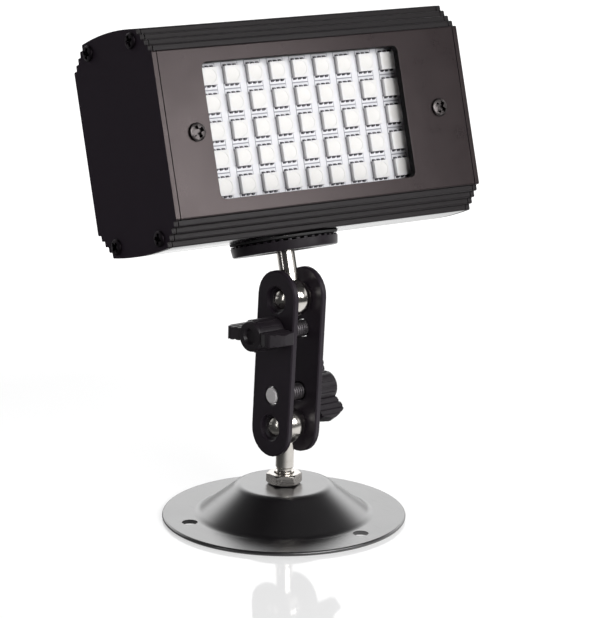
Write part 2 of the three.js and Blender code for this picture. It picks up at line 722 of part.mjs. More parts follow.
// Extruded channel, open at the front between its two lips, with four screw ports along its corners
function housingExtrusion() {
  const tread = CORNER_DEPTH / RIB_STEPS;
  const lipFront = FRONT + LIP_FRONT;
  const lipBack = lipFront + LIP_THICKNESS;
  const lipEnd = faceTop - LIP_HEIGHT;
  const lipTop = faceTop + SEAT_GAP / 2;
  const innerTop = HEAD_HEIGHT - WALL;
  const innerBack = BACK - WALL;
  const slopeRun = CORNER_DEPTH - WALL;
  const slopeFoot = faceTop - WALL;
  const upperHalf = [
    point(FRONT + tread, lipTop),
    point(lipFront, lipTop),
    point(lipFront, lipEnd),
    point(lipBack, lipEnd),
    point(lipBack, slopeFoot),
    point(lipBack + slopeRun, innerTop),
    point(innerBack - slopeRun, innerTop),
    point(innerBack, slopeFoot),
  ];
  const lowerHalf = upperHalf.map((p) => point(p.x, HEAD_HEIGHT - p.y)).reverse();
  let solid = extruded([...outerOutline(false), ...upperHalf, ...lowerHalf]);
  for (const [y, z] of portPlaces) {
    solid = solid.add(extruded(arc(y, z, PORT_BOSS_RADIUS, 0, 2 * Math.PI, SMALL_SIDES).slice(0, -1)));
  }
  for (const [y, z] of portPlaces) {
    const inward = z < FACE_MIDDLE ? PORT_BOSS_RADIUS + SEAT_GAP : -PORT_BOSS_RADIUS - SEAT_GAP;
    const low = Math.min(z, z + inward);
    const high = Math.max(z, z + inward);
    const half = PORT_SLOT / 2;
    const slot = [point(y - half, low), point(y + half, low), point(y + half, high), point(y - half, high)];
    const hole = arc(y, z, PORT_RADIUS, 0, 2 * Math.PI, TINY_SIDES).slice(0, -1);
    solid = solid.subtract(extrudedCut(hole)).subtract(extrudedCut(slot));
  }
  const through = WALL + 2 * OVERRUN;
  const studHole = rod(BUSH_NECK_RADIUS + SEAT_GAP, through);
  studHole.translate(-STUD_OFFSET, STUD_SETBACK, -WALL - OVERRUN);
  const ringSeat = rod(RING_RADIUS + SEAT_GAP, OVERRUN, RING_SIDES);
  ringSeat.translate(-STUD_OFFSET, STUD_SETBACK, RING_SEAT - OVERRUN);
  const bare = solid.subtract(solidOf(studHole)).subtract(solidOf(ringSeat));
  const wallStart = BACK - WALL - OVERRUN;
  const potHole = faceDrill(POT_BUSH_RADIUS + SEAT_GAP, CONTROL_OFFSET, FACE_MIDDLE, wallStart, through);
  const inletRadius = INLET_BODY_RADIUS + SEAT_GAP;
  const inletHole = faceDrill(inletRadius, -CONTROL_OFFSET, FACE_MIDDLE, wallStart, through);
  return geometryOf(bare.subtract(potHole).subtract(inletHole));
}

function endPlate(side) {
  const radius = END_SCREW_RADIUS + SEAT_GAP;
  const holes = portPlaces.map(([y, z]) => arc(y, z, radius, 2 * Math.PI, 0, TINY_SIDES).slice(0, -1));
  const start = side < 0 ? -HEAD_LENGTH / 2 : HEAD_LENGTH / 2 - END_PLATE;
  return alongLength(prism(outerOutline(true), END_PLATE, holes), start);
}

// Front panel: full height of the flat face, its long edges rounded, with the window and two screw holes
function frontPanel() {
  const top = faceTop;
  const bottom = CORNER_RISE;
  const section = [
    point(PANEL_BACK, bottom),
    point(PANEL_BACK, top),
    ...arc(FRONT + RIB_NOSE, top - RIB_NOSE, RIB_NOSE, Math.PI / 2, Math.PI, 3),
    ...arc(FRONT + RIB_NOSE, bottom + RIB_NOSE, RIB_NOSE, Math.PI, 1.5 * Math.PI, 3),
  ];
  const bar = alongLength(prism(section, EXTRUSION_LENGTH), -EXTRUSION_LENGTH / 2);
  const frame = roundedRectangle(WINDOW_WIDTH, WINDOW_HEIGHT, WINDOW_CORNER, 5);
  const opening = prism(frame, PANEL_THICKNESS + 2 * OVERRUN);
  const window = solidOf(throughDepth(opening, FRONT - OVERRUN).translate(WINDOW_OFFSET, 0, FACE_MIDDLE));
  let panel = solidOf(bar).subtract(window);
  for (const side of [-1, 1]) {
    const drill = faceDrill(
      PANEL_SCREW_RADIUS + SEAT_GAP,
      side * PANEL_SCREW_SPREAD,
      FACE_MIDDLE,
      FRONT - OVERRUN,
      PANEL_THICKNESS + 2 * OVERRUN,
    );
    panel = panel.subtract(drill);
  }
  return geometryOf(panel);
}

// One LED facing -Y at the origin of its board's front face: a square body with a round cup
function ledBody() {
  const half = LED_SIZE / 2;
  const square = [point(half, half), point(-half, half), point(-half, -half), point(half, -half)];
  const body = prism(square, LED_HEIGHT + BOARD_THICKNESS / 4);
  const cup = rod(LED_CUP_RADIUS, LED_CUP_DEPTH + OVERRUN, LED_CUP_SIDES).translate(0, 0, -OVERRUN);
  const solid = solidOf(body).subtract(solidOf(cup));
  return throughDepth(geometryOf(solid), -LED_HEIGHT);
}

function ledBoard() {
  const board = plate(BOARD_WIDTH, BOARD_HEIGHT, BOARD_THICKNESS, 0);
  const led = ledBody();
  const solids = [solidOf(board)];
  for (let column = 0; column < LED_COLUMNS; column += 1) {
    for (let row = 0; row < LED_ROWS; row += 1) {
      const x = (column - (LED_COLUMNS - 1) / 2) * LED_PITCH_X;
      const z = (row - (LED_ROWS - 1) / 2) * LED_PITCH_Z;
      solids.push(solidOf(led.clone().translate(x, 0, z)));
    }
  }
  return geometryOf(wasm.Manifold.union(solids)).translate(LED_GRID_OFFSET, BOARD_FRONT, FACE_MIDDLE);
}

function carrierPlate() {
  const blank = plate(CARRIER_WIDTH, CARRIER_HEIGHT, CARRIER_THICKNESS, CARRIER_FRONT);
  let solid = solidOf(blank.translate(0, 0, FACE_MIDDLE));
  for (const side of [-1, 1]) {
    solid = solid.subtract(faceDrill(
      PANEL_SCREW_RADIUS + SEAT_GAP,
      side * PANEL_SCREW_SPREAD,
      FACE_MIDDLE,
      CARRIER_FRONT - OVERRUN,
      CARRIER_THICKNESS + 2 * OVERRUN,
    ));
  }
  return geometryOf(solid);
}

function tube(outerRadius, innerRadius, length) {
  return prism(circle(outerRadius), length, [circle(innerRadius).reverse()]);
}

// Driver board with its capacitors, switching transistors and control chip soldered on the inner side
function driverBoard() {
  const front = DRIVER_BACK - DRIVER_THICKNESS;
  const sink = DRIVER_THICKNESS / 4;
  const solids = [solidOf(plate(DRIVER_WIDTH, DRIVER_HEIGHT, DRIVER_THICKNESS, front))];
  for (const side of [-1, 1]) {
    const can = throughDepth(rod(CAPACITOR_RADIUS, CAPACITOR_HEIGHT + sink), front - CAPACITOR_HEIGHT);
    solids.push(solidOf(can.translate(DRIVER_WIDTH / 2 - CAPACITOR_SPACING, 0, side * CAPACITOR_DROP)));
  }
  const chip = new THREE.BoxGeometry(CHIP_LENGTH, CHIP_HEIGHT + sink, CHIP_WIDTH);
  solids.push(solidOf(chip.translate(CHIP_LENGTH, front - (CHIP_HEIGHT - sink) / 2, -CAPACITOR_DROP)));
  for (let i = 0; i < TRANSISTOR_COUNT; i += 1) {
    const block = new THREE.BoxGeometry(TRANSISTOR_SIZE, TRANSISTOR_HEIGHT + sink, TRANSISTOR_SIZE);
    block.translate(-TRANSISTOR_PITCH * (i + 1), front - (TRANSISTOR_HEIGHT - sink) / 2, CAPACITOR_DROP);
    solids.push(solidOf(block));
  }
  return geometryOf(wasm.Manifold.union(solids)).translate(DRIVER_OFFSET, 0, FACE_MIDDLE);
}

// Potentiometer facing the back wall, its bush through the wall
function potentiometer() {
  const body = plate(POT_WIDTH, POT_HEIGHT, POT_DEPTH, POT_BACK - POT_DEPTH);
  const middle = POT_BACK - POT_DEPTH / 2;
  const length = POT_BUSH_LENGTH + POT_DEPTH / 2;
  const bush = throughDepth(rod(POT_BUSH_RADIUS, length), middle);
  const bore = throughDepth(rod(POT_SHAFT_RADIUS + SEAT_GAP, length + OVERRUN), middle);
  return geometryOf(solidOf(body).add(solidOf(bush)).subtract(solidOf(bore)));
}

// Fluted knob with a pointer slot, its open underside at height 0 and its top above
function speedKnob() {
  const bore = POT_SHAFT_RADIUS + SEAT_GAP;
  const recess = POT_NUT_FLATS / Math.sqrt(3) + SEAT_GAP;
  const roof = SPEED_KNOB_HEIGHT - SPEED_KNOB_BORE_ROOF;
  const body = solidOf(turned([
    point(recess, 0),
    point(SPEED_KNOB_RADIUS, 0),
    point(SPEED_KNOB_RADIUS, SPEED_KNOB_SKIRT_HEIGHT),
    point(SPEED_KNOB_TOP_RADIUS, SPEED_KNOB_HEIGHT - SPEED_POINTER_DEPTH),
    point(SPEED_KNOB_TOP_RADIUS - SPEED_POINTER_DEPTH, SPEED_KNOB_HEIGHT),
    point(0, SPEED_KNOB_HEIGHT),
    point(0, roof),
    point(bore, roof),
    point(bore, SPEED_KNOB_SKIRT),
    point(recess, SPEED_KNOB_SKIRT),
    point(recess, 0),
  ], ROUND_SIDES));
  const cuts = [];
  const fluteCircle = SPEED_KNOB_RADIUS + SPEED_KNOB_FLUTE_RADIUS - SPEED_KNOB_FLUTE_SINK;
  for (let i = 0; i < SPEED_KNOB_FLUTES; i += 1) {
    const flute = rod(SPEED_KNOB_FLUTE_RADIUS, SPEED_KNOB_HEIGHT, TINY_SIDES);
    flute.translate(fluteCircle, 0, SPEED_KNOB_SKIRT_HEIGHT);
    cuts.push(solidOf(flute.rotateZ((2 * Math.PI * (i + 0.5)) / SPEED_KNOB_FLUTES)));
  }
  const slot = new THREE.BoxGeometry(SPEED_POINTER_WIDTH, SPEED_KNOB_RADIUS, 2 * SPEED_POINTER_DEPTH);
  cuts.push(solidOf(slot.translate(0, SPEED_KNOB_RADIUS / 2 + SPEED_POINTER_WIDTH, SPEED_KNOB_HEIGHT)));
  return geometryOf(body.subtract(wasm.Manifold.union(cuts)));
}

// Round socket with its centre pin, the underside of its flange at height 0
function powerInlet() {
  const mouth = INLET_FLANGE_HEIGHT;
  const floor = mouth - INLET_BORE_DEPTH;
  return turned([
    point(0, -INLET_LENGTH),
    point(INLET_BODY_RADIUS, -INLET_LENGTH),
    point(INLET_BODY_RADIUS, 0),
    point(INLET_FLANGE_RADIUS, 0),
    point(INLET_FLANGE_RADIUS, mouth * 0.7),
    point(INLET_FLANGE_RADIUS - mouth * 0.3, mouth),
    point(INLET_BORE_RADIUS, mouth),
    point(INLET_BORE_RADIUS, floor),
    point(INLET_PIN_RADIUS, floor),
    point(INLET_PIN_RADIUS, mouth - INLET_PIN_SETBACK),
    point(0, mouth - INLET_PIN_SETBACK),
  ], 28);
}

// Threaded bush: neck in the wall, flange on the wall's inner side, body above
function mountBush() {
  const bore = UPPER_SHANK_RADIUS + THREAD_GAP;
  const seat = WALL + SEAT_GAP;
  return turned([
    point(bore, RING_SEAT),
    point(BUSH_NECK_RADIUS, RING_SEAT),
    point(BUSH_NECK_RADIUS, seat),
    point(BUSH_FLANGE_RADIUS, seat),
    point(BUSH_FLANGE_RADIUS, seat + BUSH_FLANGE_HEIGHT),
    point(BUSH_BODY_RADIUS, seat + BUSH_FLANGE_HEIGHT),
    point(BUSH_BODY_RADIUS, BUSH_HEIGHT),
    point(bore, BUSH_HEIGHT),
    point(bore, RING_SEAT),
  ], 32);
}

// Foot with its two nuts
function buildFoot() {
  const group = new THREE.Group();
  group.add(piece("base_dish", footDish(), "steel"));
  const nut = hexNut(NUT_FLATS, NUT_HEIGHT, LOWER_SHANK_RADIUS + THREAD_GAP);
  const jamNut = piece("jam_nut", nut, "nickel");
  jamNut.position.z = FOOT_HEIGHT + SEAT_GAP;
  jamNut.rotation.z = NUT_TURN * DEGREE;
  const underNut = piece("under_nut", nut.clone(), "nickel");
  underNut.position.z = FOOT_HEIGHT - FOOT_SHEET - SEAT_GAP - NUT_HEIGHT;
  group.add(jamNut, underNut);
  return group;
}

// A wing screw on the outside of a strap, pointing away from the arm
function buildWingScrew(name, side, height, turn) {
  const group = groupAt((side * ARM_THICKNESS) / 2, 0, height, [0, 90 * side, 0]);
  const knob = piece(`${name}_wing_knob`, wingKnob(), "plastic");
  knob.rotation.z = turn * DEGREE;
  group.add(knob, piece(`${name}_clamp_bolt`, clampBolt(), "nickel"));
  return group;
}

// Two straps with their wing screws, the lower ball at the origin
function buildArm() {
  const group = new THREE.Group();
  const middle = BALL_SPACING / 2;
  const offset = (STRAP_GAP + STRAP_SHEET) / 2;
  const near = piece("near_clamp_plate", clampStrap(1), "steel");
  near.position.set(-offset, 0, middle);
  const far = piece("far_clamp_plate", clampStrap(-1), "steel");
  far.position.set(offset, 0, middle);
  group.add(near, far);
  group.add(buildWingScrew("near", -1, middle + BOLT_OFFSET, NEAR_KNOB_TURN));
  group.add(buildWingScrew("far", 1, middle - BOLT_OFFSET, FAR_KNOB_TURN));
  return group;
}

function buildEndScrews() {
  const group = new THREE.Group();
  const names = ["front_low", "back_low", "front_high", "back_high"];
  for (const side of [-1, 1]) {
    portPlaces.forEach(([y, z], i) => {
      const screw = panScrew(END_HEAD_RADIUS, END_HEAD_HEIGHT, END_SCREW_RADIUS, END_SCREW_LENGTH);
      screw.rotateY(side * 90 * DEGREE);
      const mesh = piece(`${side < 0 ? "left" : "right"}_end_screw_${names[i]}`, screw, "screw");
      mesh.position.set(side * (HEAD_LENGTH / 2 + SEAT_GAP), y, z);
      group.add(mesh);
    });
  }
  return group;
}

// Panel screws with their spacers and nuts, left and right of the window
function buildPanelFixings() {
  const group = new THREE.Group();
  const spacerStart = PANEL_BACK + SEAT_GAP;
  const spacerLength = CARRIER_FRONT - SEAT_GAP - spacerStart;
  const nutStart = CARRIER_BACK + SEAT_GAP;
  const screwLength = nutStart + PANEL_NUT_HEIGHT + PANEL_SCREW_RADIUS - FRONT + SEAT_GAP;
  for (const side of [-1, 1]) {
    const word = side < 0 ? "left" : "right";
    const screw = panScrew(PANEL_HEAD_RADIUS, PANEL_HEAD_HEIGHT, PANEL_SCREW_RADIUS, screwLength);
    const bore = PANEL_SCREW_RADIUS + SEAT_GAP;
    const spacer = throughDepth(tube(PANEL_SPACER_RADIUS, bore, spacerLength), spacerStart);
    const nut = throughDepth(hexNut(PANEL_NUT_FLATS, PANEL_NUT_HEIGHT, bore), nutStart);
    const parts = [
      piece(`panel_screw_${word}`, screw.rotateX(Math.PI / 2).translate(0, FRONT - SEAT_GAP, 0), "screw"),
      piece(`panel_spacer_${word}`, spacer, "aluminium"),
      piece(`panel_nut_${word}`, nut, "nickel"),
    ];
    parts.forEach((part) => {
      part.position.set(side * PANEL_SCREW_SPREAD, 0, FACE_MIDDLE);
      group.add(part);
    });
  }
  return group;
}

// Potentiometer, nut, shaft and knob, and the inlet with its nut, on the back wall
function buildControls() {
  const group = new THREE.Group();
  const potNutStart = BACK + SEAT_GAP;
  const knobStart = potNutStart + POT_NUT_HEIGHT + 2 * SEAT_GAP;
  const shaftStart = POT_BACK - POT_DEPTH / 2 + SEAT_GAP;
  const knobRoof = knobStart + SPEED_KNOB_HEIGHT - SPEED_KNOB_BORE_ROOF;
  const shaftEnd = knobRoof - SEAT_GAP;
  const control = groupAt(CONTROL_OFFSET, 0, FACE_MIDDLE);
  const shaft = throughDepth(rod(POT_SHAFT_RADIUS, shaftEnd - shaftStart), shaftStart);
  const potNut = hexNut(POT_NUT_FLATS, POT_NUT_HEIGHT, POT_BUSH_RADIUS + SEAT_GAP);
  control.add(
    piece("speed_potentiometer", potentiometer(), "plastic"),
    piece("potentiometer_nut", throughDepth(potNut, potNutStart), "nickel"),
    piece("potentiometer_shaft", shaft, "nickel"),
    piece("speed_knob", throughDepth(speedKnob(), knobStart), "plastic"),
  );
  const power = groupAt(-CONTROL_OFFSET, 0, FACE_MIDDLE);
  const nutStart = BACK - WALL - SEAT_GAP - INLET_NUT_HEIGHT;
  const inletNut = hexNut(INLET_NUT_FLATS, INLET_NUT_HEIGHT, INLET_BODY_RADIUS + SEAT_GAP);
  power.add(
    piece("power_inlet", throughDepth(powerInlet(), BACK + SEAT_GAP), "plastic"),
    piece("inlet_nut", throughDepth(inletNut, nutStart), "nickel"),
  );
  group.add(control, power);
  return group;
}

// Lamp head, the middle of its bottom edge lines at the origin
function buildLamp() {
  const group = new THREE.Group();
  const pad = plate(BOARD_WIDTH - 2 * PAD_MARGIN, BOARD_HEIGHT - 2 * PAD_MARGIN, PAD_THICKNESS, PAD_FRONT);
  const bush = piece("mount_bush", mountBush(), "nickel");
  bush.position.set(-STUD_OFFSET, STUD_SETBACK, 0);
  group.add(
    piece("housing_extrusion", housingExtrusion(), "anodised"),
    piece("left_end_plate", endPlate(-1), "anodised"),
    piece("right_end_plate", endPlate(1), "anodised"),
    piece("front_panel", frontPanel(), "panel"),
    piece("led_board", ledBoard(), "board"),
    piece("thermal_pad", pad.translate(LED_GRID_OFFSET, 0, FACE_MIDDLE), "pad"),
    piece("carrier_plate", carrierPlate(), "aluminium"),
    piece("driver_board", driverBoard(), "fibreglass"),
    bush,
    buildEndScrews(),
    buildPanelFixings(),
    buildControls(),
  );
  return group;
}

// The whole chain from the foot up to the lamp
function buildStrobe() {
  const strobe = new THREE.Group();
  strobe.add(buildFoot());
  const swivel = groupAt(0, 0, LEAN_HEIGHT, [0, 0, ARM_TURN]);
  const stud = groupAt(0, 0, 0, [0, LOWER_STUD_LEAN, 0]);
  const lowerBall = groupAt(0, 0, LOWER_BALL_HEIGHT - LEAN_HEIGHT);
  lowerBall.add(piece("lower_ball_stud", lowerStud(), "nickel"));
  const arm = groupAt(0, 0, 0, [0, ARM_SWAY, 0]);
  arm.add(buildArm());
  const upperBall = groupAt(0, 0, BALL_SPACING, [UPPER_TILT, UPPER_SWAY, 0]);
  upperBall.add(piece("upper_ball_stud", upperStud(), "nickel"));
  const ring = piece("lock_ring", lockRing(), "plastic");
  ring.position.z = UPPER_STUD_REACH + RING_TOP;
  const washer = piece("ring_washer", ringWasher(), "rubber");
  washer.position.z = UPPER_STUD_REACH + WASHER_TOP;
  upperBall.add(ring, washer);
  const lampTurn = groupAt(0, 0, 0, [0, 0, LAMP_TURN]);
  const lamp = buildLamp();
  lamp.position.set(STUD_OFFSET, -STUD_SETBACK, UPPER_STUD_REACH);
  lampTurn.add(lamp);
  upperBall.add(lampTurn);
  arm.add(upperBall);
  lowerBall.add(arm);
  stud.add(lowerBall);
  swivel.add(stud);
  strobe.add(swivel);
  return strobe;
}

const strobe = buildStrobe();
const bounds = new THREE.Box3().setFromObject(strobe, true);
const centre = bounds.getCenter(new THREE.Vector3());
strobe.position.set(-centre.x, -centre.y, -bounds.min.z);

export default strobe;
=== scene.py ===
"""Looks of the strobe light: finishes, fine edges, LEDs, screws, studio and camera.

Sizes are in millimetres in each part's own axes, and are turned into the frame's metres at the end.
"""

import json
import logging
import math
from collections.abc import Callable
from dataclasses import dataclass, field
from enum import Enum

import bpy
from mathutils import Matrix, Vector

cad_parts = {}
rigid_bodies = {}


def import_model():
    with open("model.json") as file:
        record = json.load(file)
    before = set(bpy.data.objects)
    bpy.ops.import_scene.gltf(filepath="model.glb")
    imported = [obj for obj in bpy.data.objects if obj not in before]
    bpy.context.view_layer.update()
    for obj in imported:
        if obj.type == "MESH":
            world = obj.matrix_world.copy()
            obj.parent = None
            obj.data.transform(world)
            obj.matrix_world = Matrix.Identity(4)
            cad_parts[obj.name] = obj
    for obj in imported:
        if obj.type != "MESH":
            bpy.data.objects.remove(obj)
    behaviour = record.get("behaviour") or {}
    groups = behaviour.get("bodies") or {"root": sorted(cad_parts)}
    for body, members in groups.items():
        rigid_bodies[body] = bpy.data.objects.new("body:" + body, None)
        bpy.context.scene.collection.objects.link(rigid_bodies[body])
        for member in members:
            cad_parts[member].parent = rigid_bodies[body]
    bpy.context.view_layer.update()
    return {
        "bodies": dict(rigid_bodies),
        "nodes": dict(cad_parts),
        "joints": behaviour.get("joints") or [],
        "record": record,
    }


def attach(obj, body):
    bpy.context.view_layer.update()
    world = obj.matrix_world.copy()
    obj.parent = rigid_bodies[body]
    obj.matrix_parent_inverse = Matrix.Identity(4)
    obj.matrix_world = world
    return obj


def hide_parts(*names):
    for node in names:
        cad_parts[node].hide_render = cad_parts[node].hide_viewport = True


LOG = logging.getLogger("strobe")
MM = 0.001
WHITE = (1.0, 1.0, 1.0, 1.0)
# Angles in degrees above which an edge stays sharp in shading, by the kind of piece.
TURNED = 24.0
PRESSED = 30.0
PLAIN = 34.0
SOFT = 40.0
THREADED = 50.0
# What counts as one point on a lathed piece and on a CAD node, and as one flat face of a CAD node.
LATHE_WELD = 0.0005
CAD_WELD = 0.002
CAD_FLAT = 0.8
Point = tuple[float, float]
Triple = tuple[float, float, float]
Piece = bpy.types.Object
Material = bpy.types.Material
Socket = bpy.types.NodeSocket
FaceTest = Callable[[Vector, Vector], bool]


class Slot(Enum):
    """Material slots of the record, passed along with each new piece."""

    EXTRUSION = "black_anodised"
    PANEL = "panel_black"
    STEEL = "black_steel"
    NICKEL = "nickel"
    SCREW = "black_screw"
    PLASTIC = "black_plastic"
    BOARD = "white_board"
    RUBBER = "black_rubber"


class Body(Enum):
    """Bodies of the model that pieces ride on."""

    BASE = "base"
    LOWER_STUD = "lower_stud"
    ARM = "arm"
    NEAR_WING = "near_wing"
    FAR_WING = "far_wing"
    UPPER_STUD = "upper_stud"
    RING = "lock_ring"
    HEAD = "head"
    SPEED = "speed"


@dataclass(frozen=True)
class Placement:
    """Where a part's own axes stand: an origin in millimetres and its X and Z directions."""

    origin: Triple
    x: Triple = (1.0, 0.0, 0.0)
    z: Triple = (0.0, 0.0, 1.0)

    def turn(self) -> Matrix:
        """Rotation from the part's own axes to the frame's.

        Returns:
            The rotation.
        """
        up = Vector(self.z).normalized()
        along = Vector(self.x)
        along = (along - up * along.dot(up)).normalized()
        return Matrix((along, up.cross(along), up)).transposed()

    def matrix(self) -> Matrix:
        """Full placement, from the part's millimetres to the frame's metres."""
        place = Matrix.Translation(Vector(self.origin) * MM)
        return place @ self.turn().to_4x4() @ Matrix.Scale(MM, 4)

    def moved(self, x: float, y: float, z: float) -> "Placement":
        """The same axes with the origin moved along them."""
        origin = Vector(self.origin) + self.turn() @ Vector((x, y, z))
        return Placement(tuple(origin), self.x, self.z)

    def facing(self, out: Triple, side: Triple) -> "Placement":
        """The same origin with Z along out and X along side, both given in this placement's axes."""
        turn = self.turn()
        return Placement(self.origin, tuple(turn @ Vector(side)), tuple(turn @ Vector(out)))


ARM_ACROSS = (0.992401, 0.107809, -0.059306)
ARM_UP = (0.058959, 0.006405, 0.99824)
HEAD_UP = (0.035507, 0.29961, 0.953401)
BASE = Placement((-8.494, -6.496, 0.0))
LOWER_STUD = Placement((-7.916, -6.433, 27.391), z=(0.032094, 0.003487, 0.999479))
ARM = Placement((-12.14, -6.892, 46.326), ARM_ACROSS, ARM_UP)
UPPER_STUD = Placement((-5.717, -6.194, 64.625), z=HEAD_UP)
RING = Placement((-5.134, -1.272, 80.289), z=HEAD_UP)
NEAR_BOLT = Placement((-12.587, -6.941, 55.619), ARM_UP, tuple(-value for value in ARM_ACROSS))
FAR_BOLT = Placement((-1.046, -5.687, 36.397), ARM_UP, ARM_ACROSS)
HEAD = Placement((-1.067, -1.451, 81.662), (0.999369, -0.011163, -0.033711), HEAD_UP)


class Wire:
    """A number that runs between two shader nodes and takes part in plain arithmetic."""

    def __init__(self, nodes: "Nodes", socket: Socket) -> None:
        """Keeps the node tree and the output socket."""
        self.nodes = nodes
        self.socket = socket

    def _math(self, operation: str, first: "Wire | float", second: "Wire | float") -> "Wire":
        """Adds one Math node on two values."""
        node = self.nodes.node("ShaderNodeMath", {"operation": operation}, {0: first, 1: second})
        return Wire(self.nodes, node.outputs[0])

    def __add__(self, other: "Wire | float") -> "Wire":
        """Sum."""
        return self._math("ADD", self, other)

    def __rsub__(self, other: float) -> "Wire":
        """Difference from a number."""
        return self._math("SUBTRACT", other, self)

    def __mul__(self, other: "Wire | float") -> "Wire":
        """Product."""
        return self._math("MULTIPLY", self, other)

    __radd__ = __add__
    __rmul__ = __mul__

    def step(self, low: float, high: float) -> "Wire":
        """Stretches the range from low to high over 0 to 1, with soft ends.

        Args:
            low: Value that becomes 0.
            high: Value that becomes 1.

        Returns:
            The stretched value.
        """
        settings = {"interpolation_type": "SMOOTHSTEP"}
        node = self.nodes.node("ShaderNodeMapRange", settings, {0: self, 1: low, 2: high})
        return Wire(self.nodes, node.outputs[0])


class Nodes:
    """The node tree of a material or world, filled from the script."""

    def __init__(self, owner: Material | bpy.types.World) -> None:
        """Empties the owner's tree.

        Args:
            owner: What the tree belongs to.
        """
        owner.use_nodes = True
        self.tree = owner.node_tree
        self.tree.nodes.clear()

    def node(self, kind: str, settings: dict | None = None, values: dict | None = None) -> bpy.types.Node:
        """Adds any node.

        Args:
            kind: The node's type.
            settings: Its own settings, set first.
            values: Values or links of its input sockets, by name or number.

        Returns:
            The new node.
        """
        node = self.tree.nodes.new(kind)
        for key, value in (settings or {}).items():
            setattr(node, key, value)
        for key, value in (values or {}).items():
            self.feed(node, key, value)
        return node

    def feed(self, node: bpy.types.Node, key: str | int, value: object) -> None:
        """Sets or links one input socket.

        Args:
            node: The node.
            key: The socket's name or number.
            value: A wire, a socket or a plain value.
        """
        if isinstance(value, Wire):
            value = value.socket
        if isinstance(value, Socket):
            self.tree.links.new(value, node.inputs[key])
        else:
            node.inputs[key].default_value = value

    def tint(self, amount: Wire, low: Triple | Socket, high: Triple) -> Socket:
        """Colour between two others.

        Args:
            amount: How much of the second.
            low: First colour.
            high: Second colour.

        Returns:
            The colour socket.
        """
        first = (*low, 1.0) if isinstance(low, tuple) else low
        values = {0: amount, 6: first, 7: (*high, 1.0)}
        return self.node("ShaderNodeMix", {"data_type": "RGBA"}, values).outputs[2]

    def measure(self, operation: str, *vectors: Socket | Triple) -> Wire:
        """Number that a Vector Math operation, such as a length, gives for one or two vectors."""
        values = dict(enumerate(vectors))
        return Wire(self, self.node("ShaderNodeVectorMath", {"operation": operation}, values).outputs[1])

    def part_of(self, vector: Socket, axis: int) -> Wire:
        """One of a vector's three numbers, by its axis from 0 to 2."""
        return Wire(self, self.node("ShaderNodeSeparateXYZ", {}, {0: vector}).outputs[axis])


class Recipe(Nodes):
    """The nodes of one finish: a Principled shader, and patterns on the axes of one part."""

    def __init__(self, name: str, spot: Placement) -> None:
        """Starts an empty material with its shader and output.

        Args:
            name: The material's name.
            spot: Placement of the part that the finish lies on.
        """
        self.material = bpy.data.materials.new(name)
        super().__init__(self.material)
        self.spot = spot
        self.shader = self.node("ShaderNodeBsdfPrincipled")
        self.output = self.node("ShaderNodeOutputMaterial", {}, {0: self.shader.outputs[0]})
        self.where = self.place((1.0, 1.0, 1.0))

    def place(self, stretch: Triple) -> Socket:
        """Coordinates in millimetres along the part's own axes.

        Args:
            stretch: How much longer a pattern is along each axis.

        Returns:
            The vector socket.
        """
        values = {
            "Vector": self.node("ShaderNodeTexCoord").outputs["Object"],
            "Location": Vector(self.spot.origin) * MM,
            "Rotation": self.spot.turn().to_euler("XYZ"),
            "Scale": Vector(stretch) * MM,
        }
        return self.node("ShaderNodeMapping", {"vector_type": "TEXTURE"}, values).outputs[0]

    def noise(self, size: float, detail: float, rough: float = 0.5, stretch: Triple | None = None) -> Wire:
        """Cloudy pattern.

        Args:
            size: Size of a patch in millimetres.
            detail: Number of finer layers.
            rough: Weight of the finer layers.
            stretch: How much longer the pattern is along each axis, if at all.

        Returns:
            A value from 0 to 1.
        """
        where = self.place(stretch) if stretch else self.where
        values = {"Vector": where, "Scale": 1.0 / size, "Detail": detail, "Roughness": rough}
        return Wire(self, self.node("ShaderNodeTexNoise", {}, values).outputs[0])

    def cells(self, size: float) -> Wire:
        """Distance, in spacings, from the nearest of many points scattered at a spacing in millimetres."""
        values = {"Vector": self.where, "Scale": 1.0 / size}
        return Wire(self, self.node("ShaderNodeTexVoronoi", {}, values).outputs[0])

    def waves(self, pitch: float) -> Wire:
        """Even ridges along the part's Z axis.

        Args:
            pitch: Distance from ridge to ridge in millimetres.

        Returns:
            A value from 0 to 1.
        """
        settings = {"bands_direction": "Z", "wave_profile": "SIN"}
        values = {"Vector": self.where, "Scale": math.pi / (10.0 * pitch), "Distortion": 0.0}
        return Wire(self, self.node("ShaderNodeTexWave", settings, values).outputs[1])

    def set(self, **values: object) -> None:
        """Sets sockets of the shader, with spaces in their names written as underscores."""
        for key, value in values.items():
            self.feed(self.shader, key.replace("_", " "), value)

    def bump(self, height: Wire, depth: float, strength: float) -> None:
        """Feeds the shader's normal with a relief whose full depth is in millimetres."""
        values = {"Strength": strength, "Distance": depth * MM, "Height": height}
        self.set(Normal=self.node("ShaderNodeBump", {}, values).outputs[0])


@dataclass(frozen=True)
class Finish:
    """A kind of finish, which draws its patterns on the axes of the part that it lies on."""

    name: str

    def make(self, spot: Placement) -> Material:
        """Builds the finish.

        Args:
            spot: Placement of the part that it lies on.

        Returns:
            The material.
        """
        recipe = Recipe(self.name, spot)
        self.draw(recipe)
        return recipe.material

    def draw(self, recipe: Recipe) -> None:
        """Sets the shader, in each kind of finish its own way."""
        raise NotImplementedError


